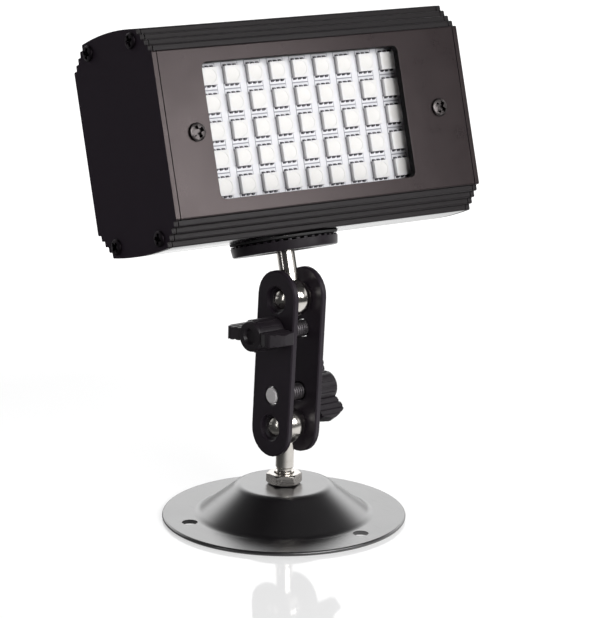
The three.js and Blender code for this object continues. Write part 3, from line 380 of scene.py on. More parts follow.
@dataclass(frozen=True)
class Anodised(Finish):
    """Black anodised extrusion: fine drawing lines along its length, and a little dust."""

    name: str = "anodised_black"
    low: Triple = (0.0070, 0.0052, 0.0062)
    high: Triple = (0.0190, 0.0145, 0.0165)
    rough: float = 0.38
    line: float = 0.22
    line_stretch: Triple = (90.0, 1.0, 1.0)
    patch: float = 7.0
    dust_gap: float = 2.6
    relief: float = 0.012

    def draw(self, recipe: Recipe) -> None:
        """Draws the patterns and sets the shader.

        Args:
            recipe: The finish's nodes.
        """
        lines = recipe.noise(self.line, 3.0, 0.6, self.line_stretch)
        cloud = recipe.noise(self.patch, 3.0)
        dust = recipe.cells(self.dust_gap).step(0.06, 0.0) * cloud.step(0.45, 0.7)
        recipe.set(
            Base_Color=recipe.tint(lines * 0.7 + dust * 0.6, self.low, self.high),
            Roughness=self.rough + 0.10 * lines + 0.08 * cloud,
            Metallic=0.25,
            IOR=1.45,
        )
        recipe.bump(lines + cloud * 0.3, self.relief, 0.5)


@dataclass(frozen=True)
class MattePaint(Finish):
    """Fine matte coating of the front panel and end plates, with a few pale specks."""

    low: Triple
    high: Triple
    rough: float
    ior: float
    gloss: Triple = (1.0, 1.0, 1.0)
    speck: Triple = (0.10, 0.09, 0.085)
    sand: float = 0.16
    patch: float = 9.0
    speck_gap: float = 3.4
    speck_patch: float = 5.0
    relief: float = 0.02

    def draw(self, recipe: Recipe) -> None:
        """Draws the patterns and sets the shader.

        Args:
            recipe: The finish's nodes.
        """
        sand = recipe.noise(self.sand, 2.0, 0.7)
        cloud = recipe.noise(self.patch, 4.0, 0.6)
        specks = recipe.cells(self.speck_gap).step(0.05, 0.02)
        specks = specks * recipe.noise(self.speck_patch, 2.0).step(0.5, 0.65)
        colour = recipe.tint(sand * 0.45 + cloud * 0.55, self.low, self.high)
        recipe.set(
            Base_Color=recipe.tint(specks * 0.5, colour, self.speck),
            Roughness=self.rough + 0.12 * cloud + 0.08 * sand,
            IOR=self.ior,
            Specular_Tint=(*self.gloss, 1.0),
        )
        recipe.bump(sand + specks * 0.6, self.relief, 0.45)


@dataclass(frozen=True)
class GlossSteel(Finish):
    """Stove-enamelled black steel of the dish and straps."""

    low: Triple = (0.003, 0.0022, 0.0032)
    high: Triple = (0.006, 0.0045, 0.0064)
    rough: float = 0.30
    ior: float = 1.9
    coat: float = 0.7
    peel: float = 0.9
    patch: float = 11.0
    rub: float = 0.5
    rub_stretch: Triple = (1.0, 12.0, 1.0)
    relief: float = 0.002

    def draw(self, recipe: Recipe) -> None:
        """Draws the patterns and sets the shader.

        Args:
            recipe: The finish's nodes.
        """
        peel = recipe.noise(self.peel, 2.0)
        cloud = recipe.noise(self.patch, 4.0, 0.6)
        rubbed = recipe.noise(self.rub, 3.0, 0.5, self.rub_stretch).step(0.55, 0.8)
        recipe.set(
            Base_Color=recipe.tint(cloud, self.low, self.high),
            Roughness=self.rough + 0.05 * cloud + 0.06 * rubbed,
            IOR=self.ior,
            Coat_Weight=self.coat,
            Coat_Roughness=self.rough,
        )
        recipe.bump(peel + rubbed * 0.2, self.relief, 0.12)


@dataclass(frozen=True)
class Nickel(Finish):
    """Plated metal with turning marks round the part, and a thread where it has a pitch."""

    low: Triple = (0.60, 0.565, 0.52)
    high: Triple = (0.83, 0.80, 0.76)
    rough: float = 0.13
    pitch: float = 0.0
    ring: float = 0.18
    ring_stretch: Triple = (60.0, 60.0, 1.0)
    patch: float = 2.8
    relief: float = 0.01
    thread_relief: float = 0.16

    def draw(self, recipe: Recipe) -> None:
        """Draws the patterns and sets the shader.

        Args:
            recipe: The finish's nodes.
        """
        rings = recipe.noise(self.ring, 3.0, 0.6, self.ring_stretch)
        cloud = recipe.noise(self.patch, 3.0)
        marks = rings * 0.25 + cloud * 0.1
        if self.pitch:
            recipe.bump(marks * 0.2 + recipe.waves(self.pitch), self.thread_relief, 0.6)
        else:
            recipe.bump(marks, self.relief, 0.35)
        recipe.set(
            Base_Color=recipe.tint(cloud, self.low, self.high),
            Roughness=self.rough + 0.08 * rings + 0.08 * cloud,
            Metallic=1.0,
        )


@dataclass(frozen=True)
class Plastic(Finish):
    """Moulded black plastic with a faint skin and handling marks."""

    low: Triple = (0.0120, 0.0092, 0.0122)
    high: Triple = (0.0250, 0.0195, 0.0252)
    rough: float = 0.36
    ior: float = 1.45
    skin: float = 0.25
    patch: float = 4.0
    mark: float = 0.35
    mark_stretch: Triple = (1.0, 1.0, 9.0)
    relief: float = 0.015

    def draw(self, recipe: Recipe) -> None:
        """Draws the patterns and sets the shader.

        Args:
            recipe: The finish's nodes.
        """
        skin = recipe.noise(self.skin, 3.0, 0.6)
        cloud = recipe.noise(self.patch, 3.0)
        marks = recipe.noise(self.mark, 2.0, 0.5, self.mark_stretch).step(0.6, 0.8)
        recipe.set(
            Base_Color=recipe.tint(cloud * 0.7 + marks * 0.3, self.low, self.high),
            Roughness=self.rough + 0.10 * cloud + 0.08 * marks,
            IOR=self.ior,
        )
        recipe.bump(skin * 0.5 + cloud, self.relief, 0.3)


@dataclass(frozen=True)
class Coated(Finish):
    """A pale or coloured surface with fine grain, for boards, pads, LEDs and bare metal.

    Where it has a foot, a depth along the part's Y axis, its colour darkens near it, as painted shade.
    """

    low: Triple
    high: Triple
    rough: float
    grain: float
    relief: float
    metal: float = 0.0
    foot: float = 0.0
    shade: float = 1.5
    patch_scale: float = 14.0

    def draw(self, recipe: Recipe) -> None:
        """Draws the patterns and sets the shader.

        Args:
            recipe: The finish's nodes.
        """
        grain = recipe.noise(self.grain, 3.0, 0.6)
        cloud = recipe.noise(self.grain * self.patch_scale, 3.0)
        amount = grain * 0.5 + cloud * 0.5
        if self.foot:
            # Painted shade: the colour goes dark towards the foot, standing in for the shade where the
            # LED's walls meet the board.
            lit = recipe.part_of(recipe.where, 1).step(self.foot, self.foot - self.shade)
            amount = lit * (0.85 + 0.15 * amount)
        recipe.set(
            Base_Color=recipe.tint(amount, self.low, self.high),
            Roughness=self.rough + 0.12 * cloud,
            Metallic=self.metal,
        )
        recipe.bump(grain, self.relief, 0.4)


class Finishes:
    """All finishes of the strobe light, made once."""

    def __init__(self) -> None:
        """Builds every material."""
        self.extrusion = Anodised().make(HEAD)
        self.underside = Anodised("anodised_under", rough=0.03).make(HEAD)
        self.panel = MattePaint(
            "panel_paint", (0.0115, 0.0080, 0.0090), (0.0180, 0.0128, 0.0142), 0.20, 1.5, (1.0, 0.85, 0.85)
        ).make(HEAD)
        self.plate = MattePaint(
            "end_paint", (0.0200, 0.0140, 0.0212), (0.0290, 0.0205, 0.0305), 0.60, 1.2
        ).make(HEAD)
        # Near-black paint for the panel's edges and window walls: painted shade in the window's recess.
        self.wall = MattePaint(
            "panel_edge_painted_shade", (0.003, 0.0024, 0.003), (0.006, 0.005, 0.006), 0.60, 1.2
        ).make(HEAD)
        self.dish = GlossSteel("dish_enamel").make(BASE)
        self.strap = GlossSteel(
            "strap_enamel", (0.0175, 0.0128, 0.0185), (0.0260, 0.0190, 0.0275), 0.36, 1.4, 0.15
        ).make(ARM)
        self.lower_stud = Nickel("lower_stud_nickel").make(LOWER_STUD)
        self.upper_stud = Nickel("upper_stud_nickel", rough=0.08).make(UPPER_STUD)
        self.nut = Nickel("nut_nickel", (0.40, 0.38, 0.36), (0.58, 0.55, 0.52), 0.18).make(BASE)
        # The bolts' dark zinc colour is painted shade for the gap between the straps.
        zinc_painted_shade = ((0.13, 0.12, 0.13), (0.20, 0.185, 0.195), 0.48, 0.8)
        self.near_bolt = Nickel("near_bolt_painted_shade", *zinc_painted_shade).make(NEAR_BOLT)
        self.far_bolt = Nickel("far_bolt_painted_shade", *zinc_painted_shade).make(FAR_BOLT)
        self.screw = Nickel("screw_black", (0.018, 0.0145, 0.018), (0.036, 0.029, 0.036), 0.42).make(HEAD)
        self.panel_screw = Nickel(
            "panel_screw_black", (0.060, 0.054, 0.054), (0.120, 0.108, 0.108), 0.27
        ).make(HEAD)
        self.near_knob = Plastic("near_knob_plastic").make(NEAR_BOLT)
        self.far_knob = Plastic("far_knob_plastic").make(FAR_BOLT)
        self.ring = Plastic("ring_plastic", rough=0.30, ior=1.38, relief=0.004).make(RING)
        self.control = Plastic("control_plastic").make(HEAD)
        rubber = Coated("soft_rubber", (0.012, 0.012, 0.013), (0.028, 0.027, 0.028), 0.6, 0.2, 0.02)
        self.rubber = rubber.make(RING)
        # The bolt's end is near white: a painted highlight, the lit copy of the bolts' zinc.
        tip = Coated("bolt_end_painted_highlight", (0.78, 0.75, 0.76), (0.90, 0.87, 0.88), 0.34, 0.15, 0.02, 0.3)
        self.bolt_end_painted_light = tip.make(ARM)
        mask = Coated("white_mask", (0.79, 0.79, 0.825), (0.87, 0.87, 0.90), 0.34, 0.2, 0.01)
        self.mask = mask.make(HEAD)
        # A grey outline round each land: painted shade at the land's raised edge.
        edge = Coated("land_shade_outline", (0.30, 0.30, 0.34), (0.42, 0.42, 0.46), 0.5, 0.2, 0.01)
        self.land_shade_outline = edge.make(HEAD)
        # The package's dark low colour is painted shade at the foot of its walls.
        package = ((0.16, 0.155, 0.17), (0.92, 0.91, 0.905), 0.40, 0.12, 0.01)
        self.package = Coated("led_package", *package, foot=-13.7).make(HEAD)
        fill = Coated("led_phosphor", (0.84, 0.825, 0.80), (0.91, 0.895, 0.875), 0.30, 0.5, 0.01)
        self.phosphor = fill.make(HEAD)
        # The leads' near-black metal colour is a painted dark reflection; bare solder is bright.
        tin_painted_dark = Coated("led_tin_painted_dark", (0.07, 0.065, 0.075), (0.16, 0.155, 0.17), 0.34, 0.15, 0.01, 1.0)
        self.tin_painted_dark = tin_painted_dark.make(HEAD)
        mill = Coated("mill_aluminium", (0.62, 0.63, 0.64), (0.78, 0.78, 0.79), 0.34, 0.3, 0.01, 1.0)
        self.mill = mill.make(HEAD)
        pad = Coated("grey_silicone", (0.50, 0.53, 0.55), (0.62, 0.65, 0.67), 0.65, 0.3, 0.02)
        self.pad = pad.make(HEAD)
        board = Coated("green_fibreglass", (0.03, 0.13, 0.06), (0.05, 0.20, 0.09), 0.35, 0.5, 0.02)
        self.fibreglass = board.make(HEAD)
        self.ink = Coated("white_ink", (0.72, 0.72, 0.72), (0.82, 0.82, 0.82), 0.5, 0.1, 0.01).make(HEAD)


def hold(piece: Piece) -> None:
    """Selects one piece and nothing else.

    Args:
        piece: The piece.
    """
    bpy.ops.object.select_all(action="DESELECT")
    piece.select_set(True)
    bpy.context.view_layer.objects.active = piece


def edit(piece: Piece) -> None:
    """Opens one piece for editing with all of it selected.

    Args:
        piece: The piece.
    """
    hold(piece)
    bpy.ops.object.mode_set(mode="EDIT")
    bpy.ops.mesh.select_mode(type="VERT")
    bpy.ops.mesh.select_all(action="SELECT")


def edit_some(piece: Piece, test: Callable[[Vector], bool]) -> None:
    """Opens one piece for editing with only some of its corners selected.

    Args:
        piece: The piece.
        test: Says from a corner's place whether it is selected.
    """
    edit(piece)
    bpy.ops.mesh.select_all(action="DESELECT")
    close()
    for vertex in piece.data.vertices:
        vertex.select = test(vertex.co)
    bpy.ops.object.mode_set(mode="EDIT")


def close() -> None:
    """Goes back to whole pieces."""
    bpy.ops.object.mode_set(mode="OBJECT")


def named(name: str) -> Piece:
    """Names the piece that was just added, and leaves its object at the origin.

    Args:
        name: The name.

    Returns:
        The piece.
    """
    piece = bpy.context.active_object
    piece.name = name
    bpy.ops.object.transform_apply(location=True, rotation=True, scale=True)
    return piece


def move(piece: Piece, matrix: Matrix) -> None:
    """Moves a piece's mesh and leaves its object at the origin.

    Args:
        piece: The piece.
        matrix: The move, with any turn and scale.
    """
    piece.matrix_world = matrix @ piece.matrix_world
    hold(piece)
    bpy.ops.object.transform_apply(location=True, rotation=True, scale=True)


def rotate(piece: Piece, degrees: float, axis: str) -> None:
    """Turns a piece's mesh about one of its axes."""
    move(piece, Matrix.Rotation(math.radians(degrees), 4, axis))


def apply(piece: Piece, kind: str, **settings: object) -> None:
    """Adds one modifier and applies it.

    Args:
        piece: The piece.
        kind: The modifier's type.
        settings: The modifier's settings.
    """
    hold(piece)
    bpy.ops.object.modifier_add(type=kind)
    modifier = piece.modifiers[-1]
    for key, value in settings.items():
        setattr(modifier, key, value)
    bpy.ops.object.modifier_apply(modifier=modifier.name)


def lathe(name: str, profile: list[Point], steps: int, angle: float = 0.0) -> Piece:
    """Spins a profile round the Z axis and turns its faces outwards.

    Args:
        name: The piece's name.
        profile: Points as radius and height.
        steps: Number of sides.
        angle: Angle in degrees above which an edge stays sharp, or 0 to leave the shading for later.

    Returns:
        The piece.
    """
    bpy.ops.mesh.primitive_plane_add(size=1.0)
    piece = named(name)
    edit(piece)
    bpy.ops.mesh.merge(type="CENTER")
    bpy.ops.transform.translate(value=(profile[0][0], 0.0, profile[0][1]))
    for before, after in zip(profile, profile[1:]):
        shift = (after[0] - before[0], 0.0, after[1] - before[1])
        bpy.ops.mesh.extrude_vertices_move(TRANSFORM_OT_translate={"value": shift})
    bpy.ops.mesh.select_all(action="SELECT")
    bpy.ops.mesh.spin(steps=steps, angle=math.tau, center=(0, 0, 0), axis=(0, 0, 1))
    bpy.ops.mesh.select_all(action="SELECT")
    bpy.ops.mesh.remove_doubles(threshold=LATHE_WELD)
    bpy.ops.mesh.select_all(action="SELECT")
    bpy.ops.mesh.normals_make_consistent(inside=False)
    close()
    if angle:
        smooth(piece, angle)
    return piece


def block(name: str, size: Triple, place: Triple, edge: float = 0.0, segments: int = 2) -> Piece:
    """Adds a block.

    Args:
        name: The piece's name.
        size: Its three sizes.
        place: Its middle.
        edge: Width of its rounded edges, or 0 for none.
        segments: Steps of the rounding.

    Returns:
        The piece.
    """
    bpy.ops.mesh.primitive_cube_add(size=1.0, location=place, scale=size)
    piece = named(name)
    if edge:
        round_edges(piece, edge, segments)
    return piece


def disc(name: str, radius: float, height: float, sides: int, place: Triple) -> Piece:
    """Adds an upright round bar at its size and place."""
    bpy.ops.mesh.primitive_cylinder_add(vertices=sides, radius=radius, depth=height, location=place)
    return named(name)


def cut(piece: Piece, tool: Piece) -> None:
    """Takes the tool's shape out of the piece and throws the tool away."""
    apply(piece, "BOOLEAN", operation="DIFFERENCE", solver="EXACT", object=tool)
    bpy.data.objects.remove(tool)


def round_edges(piece: Piece, width: float, segments: int = 2, angle: float = 30.0) -> None:
    """Rounds every edge sharper than an angle in degrees, by a width in the mesh's own unit."""
    shape = {"width": width, "segments": segments, "use_clamp_overlap": True}
    apply(piece, "BEVEL", limit_method="ANGLE", angle_limit=math.radians(angle), **shape)


def smooth(piece: Piece, angle: float = PLAIN) -> None:
    """Shades a piece smooth except at its sharp edges, and keeps its large faces flat.

    Args:
        piece: The piece.
        angle: Angle in degrees above which an edge stays sharp.
    """
    hold(piece)
    bpy.ops.object.shade_smooth_by_angle(angle=math.radians(angle))
    apply(piece, "WEIGHTED_NORMAL", keep_sharp=True, weight=100)


def join(name: str, pieces: list[Piece]) -> Piece:
    """Joins pieces into the first one.

    Args:
        name: The joined piece's name.
        pieces: The pieces, each with its material.

    Returns:
        The joined piece.
    """
    hold(pieces[0])
    for piece in pieces:
        piece.select_set(True)
    bpy.ops.object.join()
    pieces[0].name = name
    return pieces[0]


def copy(piece: Piece, name: str) -> Piece:
    """Copies a piece with its own mesh.

    Args:
        piece: What is copied.
        name: Name of the copy.

    Returns:
        The copy.
    """
    twin = piece.copy()
    twin.data = piece.data.copy()
    twin.name = name
    bpy.context.scene.collection.objects.link(twin)
    return twin


def dress(piece: Piece, look: Material) -> None:
    """Gives a piece its one material."""
    piece.data.materials.clear()
    piece.data.materials.append(look)


def arc(centre: Point, radius: float, start: float, end: float, steps: int) -> list[Point]:
    """Points of an arc, from its start angle to its end angle in degrees."""
    angles = [math.radians(start + (end - start) * i / steps) for i in range(steps + 1)]
    return [(centre[0] + radius * math.cos(a), centre[1] + radius * math.sin(a)) for a in angles]


def fillet(before: Point, corner: Point, after: Point, radius: float, steps: int) -> list[Point]:
    """Points of a rounded corner.

    Args:
        before: The point before the corner.
        corner: The corner.
        after: The point after the corner.
        radius: Radius of the rounding.
        steps: Number of steps.

    Returns:
        The points of the rounding.
    """
    here = Vector(corner)
    one = (Vector(before) - here).normalized()
    two = (Vector(after) - here).normalized()
    half = one.angle(two) / 2
    centre = here + (one + two).normalized() * radius / math.sin(half)
    reach = radius / math.tan(half)
    first = here + one * reach - centre
    turn = first.angle_signed(here + two * reach - centre)
    start = math.degrees(math.atan2(first.y, first.x))
    return arc(centre.to_tuple(), radius, start, start - math.degrees(turn), steps)


@dataclass
class Dresser:
    """What every sub-assembly shares: the frame, the finishes and the pieces it has made."""

    frame: dict
    finishes: Finishes
    made: list[str] = field(default_factory=list)

    def ride(self, piece: Piece, body: Body, slot: Slot, *nodes: str) -> None:
        """Hands a piece to the frame.

        Args:
            piece: The finished piece.
            body: The body that it rides on.
            slot: The record's slot; not used.
            nodes: CAD nodes that it stands for.
        """
        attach(piece, body.value)
        if nodes:
            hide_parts(*nodes)
        self.made.append(piece.name)
        LOG.info("made %s, %d faces", piece.name, len(piece.data.polygons))

    def finish(
        self, piece: Piece, look: Material, spot: Placement, body: Body, slot: Slot, *nodes: str
    ) -> None:
        """Dresses a piece made in millimetres, puts it at its place and hands it to the frame.

        Args:
            piece: The piece.
            look: Its finish.
            spot: Placement of its axes.
            body: The body that it rides on.
            slot: The record's slot, passed on to ride.
            nodes: CAD nodes that it stands for.
        """
        dress(piece, look)
        move(piece, spot.matrix())
        self.ride(piece, body, slot, *nodes)

    def paint(self, look: Material, *nodes: str) -> None:
        """Gives CAD nodes that stay as they are their material.

        Args:
            look: The material.
            nodes: The nodes.
        """
        for node in nodes:
            for place in self.frame["nodes"][node].material_slots:
                place.material = look
            LOG.info("dressed %s", node)

    def refine(
        self, node: str, look: Material, edge: float, segments: int = 2, angle: float = PLAIN
    ) -> Piece:
        """Copies a CAD node, joins its triangles into faces, rounds its edges and dresses it.

        Args:
            node: The CAD node.
            look: Its finish.
            edge: Width of the rounding in millimetres.
            segments: Steps of the rounding.
            angle: Sharpest angle in degrees that is still shaded smooth.

        Returns:
            The new piece.
        """
        piece = copy(self.frame["nodes"][node], "fine_" + node)
        for key in list(piece.keys()):
            del piece[key]
        piece.parent = None
        piece.matrix_world = Matrix.Identity(4)
        edit(piece)
        bpy.ops.mesh.remove_doubles(threshold=CAD_WELD * MM)
        bpy.ops.mesh.select_all(action="SELECT")
        bpy.ops.mesh.dissolve_limited(angle_limit=math.radians(CAD_FLAT))
        close()
        round_edges(piece, edge * MM, segments)
        smooth(piece, angle)
        dress(piece, look)
        return piece


@dataclass
class Foot(Dresser):
    """Pressed dish with its nuts."""

    radius: float = 35.12
    sheet: float = 1.2
    height: float = 10.0
    dome_foot: float = 24.4
    dome_top: float = 13.2
    foot_fillet: float = 5.0
    top_fillet: float = 2.6
    bore: float = 2.9
    holes: int = 3
    hole_radius: float = 2.25
    hole_circle: float = 28.5
    hole_start: float = 42.8
    edge: float = 0.14
    edge_angle: float = 60.0
    nut_edge: float = 0.12
    top_steps: int = 8
    foot_steps: int = 10
    rim_steps: int = 8
    hole_sides: int = 40
    sides: int = 144

    def path(self, rise: float) -> list[Point]:
        """Section of the dish's under or upper side.

        Args:
            rise: How far above the under side.

        Returns:
            The points from the bore to the rim.
        """
        top = self.height - self.sheet
        slope = math.atan2(top, self.dome_foot - self.dome_top)
        shift = rise * math.tan(slope / 2)
        inner = (self.bore, top + rise)
        high = (self.dome_top + shift, top + rise)
        low = (self.dome_foot + shift, rise)
        outer = (self.radius - self.sheet / 2, rise)
        return [
            inner,
            *fillet(inner, high, low, self.top_fillet + rise, self.top_steps),
            *fillet(high, low, outer, self.foot_fillet - rise, self.foot_steps),
            outer,
        ]

    def dish(self) -> None:
        """Lathes the dish, drills its holes and finishes it."""
        half = self.sheet / 2
        rim = arc((self.radius - half, half), half, -90, 90, self.rim_steps)
        profile = [*self.path(0.0), *rim[1:-1], *reversed(self.path(self.sheet))]
        piece = lathe("dish", [*profile, profile[0]], self.sides)
        for i in range(self.holes):
            angle = math.radians(self.hole_start + 360 / self.holes * i)
            place = (self.hole_circle * math.cos(angle), self.hole_circle * math.sin(angle), half)
            cut(piece, disc("drill", self.hole_radius, 5 * self.sheet, self.hole_sides, place))
        round_edges(piece, self.edge, 2, self.edge_angle)
        smooth(piece, PRESSED)
        self.finish(piece, self.finishes.dish, BASE, Body.BASE, Slot.STEEL, "base_dish")

    def build(self) -> None:
        """Builds the dish, refines the jam nut and dresses the hidden nut."""
        self.dish()
        nut = self.refine("jam_nut", self.finishes.nut, self.nut_edge, 2, SOFT)
        self.ride(nut, Body.BASE, Slot.NICKEL, "jam_nut")
        self.paint(self.finishes.nut, "under_nut")


@dataclass
class Studs(Dresser):
    """The two ball studs.

    The relief is the groove over the lower stud's thread: radius, and height over the thread's top.
    """

    ball: float = 5.5
    shank: float = 2.6
    thread_top: float = -13.45
    relief: tuple[Point, ...] = (
        (2.6, -0.15),
        (2.48, 0.0),
        (2.3, 0.175),
        (2.3, 0.7),
        (2.54, 0.98),
        (2.6, 1.12),
    )
    foot: float = -22.7
    chamfer: float = 0.5
    upper_top: float = 26.43
    ball_steps: int = 36
    sides: int = 64

    def lower(self) -> None:
        """Lathes the lower stud, relieved above its thread."""
        neck = math.degrees(math.asin(self.shank / self.ball))
        profile = [
            (0.0, self.foot),
            (self.shank - self.chamfer, self.foot),
            (self.shank, self.foot + self.chamfer),
            *((radius, self.thread_top + rise) for radius, rise in self.relief),
            *arc((0.0, 0.0), self.ball, neck - 90, 90, self.ball_steps),
        ]
        piece = lathe("lower_stud_turned", profile, self.sides, TURNED)
        look = self.finishes.lower_stud
        self.finish(piece, look, LOWER_STUD, Body.LOWER_STUD, Slot.NICKEL, "lower_ball_stud")

    def upper(self) -> None:
        """Lathes the upper stud."""
        neck = math.degrees(math.asin(self.shank / self.ball))
        profile = [
            *arc((0.0, 0.0), self.ball, -90, 90 - neck, self.ball_steps),
            (self.shank, self.upper_top - self.chamfer),
            (self.shank - self.chamfer, self.upper_top),
            (0.0, self.upper_top),
        ]
        piece = lathe("upper_stud_turned", profile, self.sides, TURNED)
        look = self.finishes.upper_stud
        self.finish(piece, look, UPPER_STUD, Body.UPPER_STUD, Slot.NICKEL, "upper_ball_stud")

    def build(self) -> None:
        """Builds both studs."""
        self.lower()
        self.upper()


@dataclass(frozen=True)
class Wing:
    """One of the two wing screws: its name, its body and its placement."""

    side: str
    body: Body
    spot: Placement


@dataclass
class ClampArm(Dresser):
    """Two straps, their wing screws, and the lock ring above them.

    The tip is the section of a bolt's turned end: radius, and height over its face. Its bright colour is a
    painted highlight.
    """

    strap_edge: float = 0.3
    knob_edge: float = 0.22
    bolt_edge: float = 0.12
    ring_edge: float = 0.16
    washer_edge: float = 0.1
    ball: float = 5.5
    seat: float = 3.65
    lip_gap: float = 0.06
    lip_start: float = 0.04
    lip_step: float = 0.08
    lip_steps: int = 5
    lip_wall: float = 0.2
    lip_depth: float = 0.5
    lip_sides: int = 48
    reach: float = 4.364
    sheet: float = 2.0
    gap: float = 8.728
    tip: tuple[Point, ...] = (
        (0.0, 0.02),
        (0.6755, 0.0),
        (1.737, 0.0),
        (1.93, 0.05),
        (2.36, 0.5),
        (2.36, 0.75),
        (2.05, 0.8),
        (0.0, 0.8),
        (0.0, 0.02),
    )
    bolt_out: float = 0.22
    bolt_sides: int = 40
    flutes: int = 15
    flute_radius: float = 4.46
    flute: Triple = (0.5, 0.7, 7.6)
    flute_height: float = 4.6
    flute_edge: float = 0.2
    wing_cover: float = 0.88
    collar_bore: float = 3.2
    collar_radius: float = 10.4
    collar_foot: float = -0.46
    collar_top: float = 0.6
    collar_edge: float = 0.1
    collar_sides: int = 64

    def straps(self) -> None:
        """Refines both straps."""
        for node in ("near_clamp_plate", "far_clamp_plate"):
            piece = self.refine(node, self.finishes.strap, self.strap_edge, 3)
            self.ride(piece, Body.ARM, Slot.STEEL, node)

    def lips(self) -> None:
        """Models the pressed lip of each ball seat, which hugs the ball."""
        steps = [self.lip_start + self.lip_step * i for i in range(self.lip_steps)]
        curve = [(math.sqrt(self.ball**2 - (self.reach + t) ** 2) + self.lip_gap, t) for t in steps]
        wall = self.seat + self.lip_wall
        profile = [(wall, steps[0]), *curve, (wall, steps[-1] + self.lip_depth), (wall, steps[0])]
        for side, word in ((-1, "near"), (1, "far")):
            for place, ball in (("low", LOWER_STUD), ("high", UPPER_STUD)):
                centre = Placement(ball.origin, ARM.x, ARM.z).moved(side * self.reach, 0.0, 0.0)
                spot = centre.facing((float(side), 0.0, 0.0), (0.0, 0.0, 1.0))
                piece = lathe(f"{word}_{place}_seat_lip", profile, self.lip_sides, SOFT)
                self.finish(piece, self.finishes.strap, spot, Body.ARM, Slot.STEEL)

    def bolt_tip(self, wing: Wing) -> None:
        """Models the turned end of a bolt, where it comes through the other strap, in a near-white colour
        that is a painted highlight.

        Args:
            wing: The wing screw that it belongs to.
        """
        tail = -(self.gap + 2 * self.sheet) - self.bolt_out
        profile = [(radius, tail + rise) for radius, rise in self.tip]
        piece = lathe(f"{wing.side}_bolt_tip", profile, self.bolt_sides, TURNED)
        self.finish(piece, self.finishes.bolt_end_painted_light, wing.spot, wing.body, Slot.NICKEL)

    def hub_flutes(self, wing: Wing, turn: float, look: Material) -> None:
        """Models the grip flutes on a knob's hub, between its wings.

        Args:
            wing: The wing screw that they belong to.
            turn: Angle of the wings in degrees.
            look: The knob's material.
        """
        bars = []
        for i in range(self.flutes):
            angle = 360.0 * i / self.flutes
            if abs(math.cos(math.radians(angle))) > self.wing_cover:
                continue
            place = (self.flute_radius, 0.0, self.flute_height)
            bar = block("flute", self.flute, place, self.flute_edge)
            rotate(bar, angle + turn, "Z")
            bars.append(bar)
        piece = join(f"{wing.side}_hub_flutes", bars)
        smooth(piece, SOFT)
        self.finish(piece, look, wing.spot, wing.body, Slot.PLASTIC)

    def wing_turn(self, knob: Piece, spot: Placement) -> float:
        """Angle of a knob's wings about its screw.

        Args:
            knob: The knob, at its place.
            spot: The screw's placement.

        Returns:
            The angle in degrees.
        """
        back = spot.matrix().inverted()
        tip = max((back @ vertex.co for vertex in knob.data.vertices), key=lambda v: v.xy.length)
        return math.degrees(math.atan2(tip.y, tip.x))

    def wings(self) -> None:
        """Refines both wing screws and adds their fine forms."""
        looks = self.finishes
        near = Wing("near", Body.NEAR_WING, NEAR_BOLT)
        far = Wing("far", Body.FAR_WING, FAR_BOLT)
        sides = ((near, looks.near_knob, looks.near_bolt), (far, looks.far_knob, looks.far_bolt))
        for wing, plastic, zinc_painted_shade in sides:
            knob = self.refine(f"{wing.side}_wing_knob", plastic, self.knob_edge)
            self.ride(knob, wing.body, Slot.PLASTIC, f"{wing.side}_wing_knob")
            bolt = self.refine(f"{wing.side}_clamp_bolt", zinc_painted_shade, self.bolt_edge, 2, THREADED)
            self.ride(bolt, wing.body, Slot.NICKEL, f"{wing.side}_clamp_bolt")
            self.bolt_tip(wing)
            self.hub_flutes(wing, self.wing_turn(knob, wing.spot), plastic)

    def ring(self) -> None:
        """Refines the lock ring and its washer, and models the felt collar inside the ring's teeth."""
        ring = self.refine("lock_ring", self.finishes.ring, self.ring_edge, 2, SOFT)
        self.ride(ring, Body.RING, Slot.PLASTIC, "lock_ring")
        rubber = self.finishes.rubber
        washer = self.refine("ring_washer", rubber, self.washer_edge)
        self.ride(washer, Body.RING, Slot.RUBBER, "ring_washer")
        low, high, edge = self.collar_foot, self.collar_top, self.collar_edge
        profile = [
            (self.collar_bore, low),
            (self.collar_radius - edge, low),
            (self.collar_radius, low + edge),
            (self.collar_radius, high - edge),
            (self.collar_radius - edge, high),
            (self.collar_bore, high),
            (self.collar_bore, low),
        ]
        collar = lathe("ring_collar", profile, self.collar_sides, SOFT)
        self.finish(collar, rubber, RING, Body.RING, Slot.RUBBER)

    def build(self) -> None:
        """Builds the arm."""
        self.straps()
        self.lips()
        self.wings()
        self.ring()


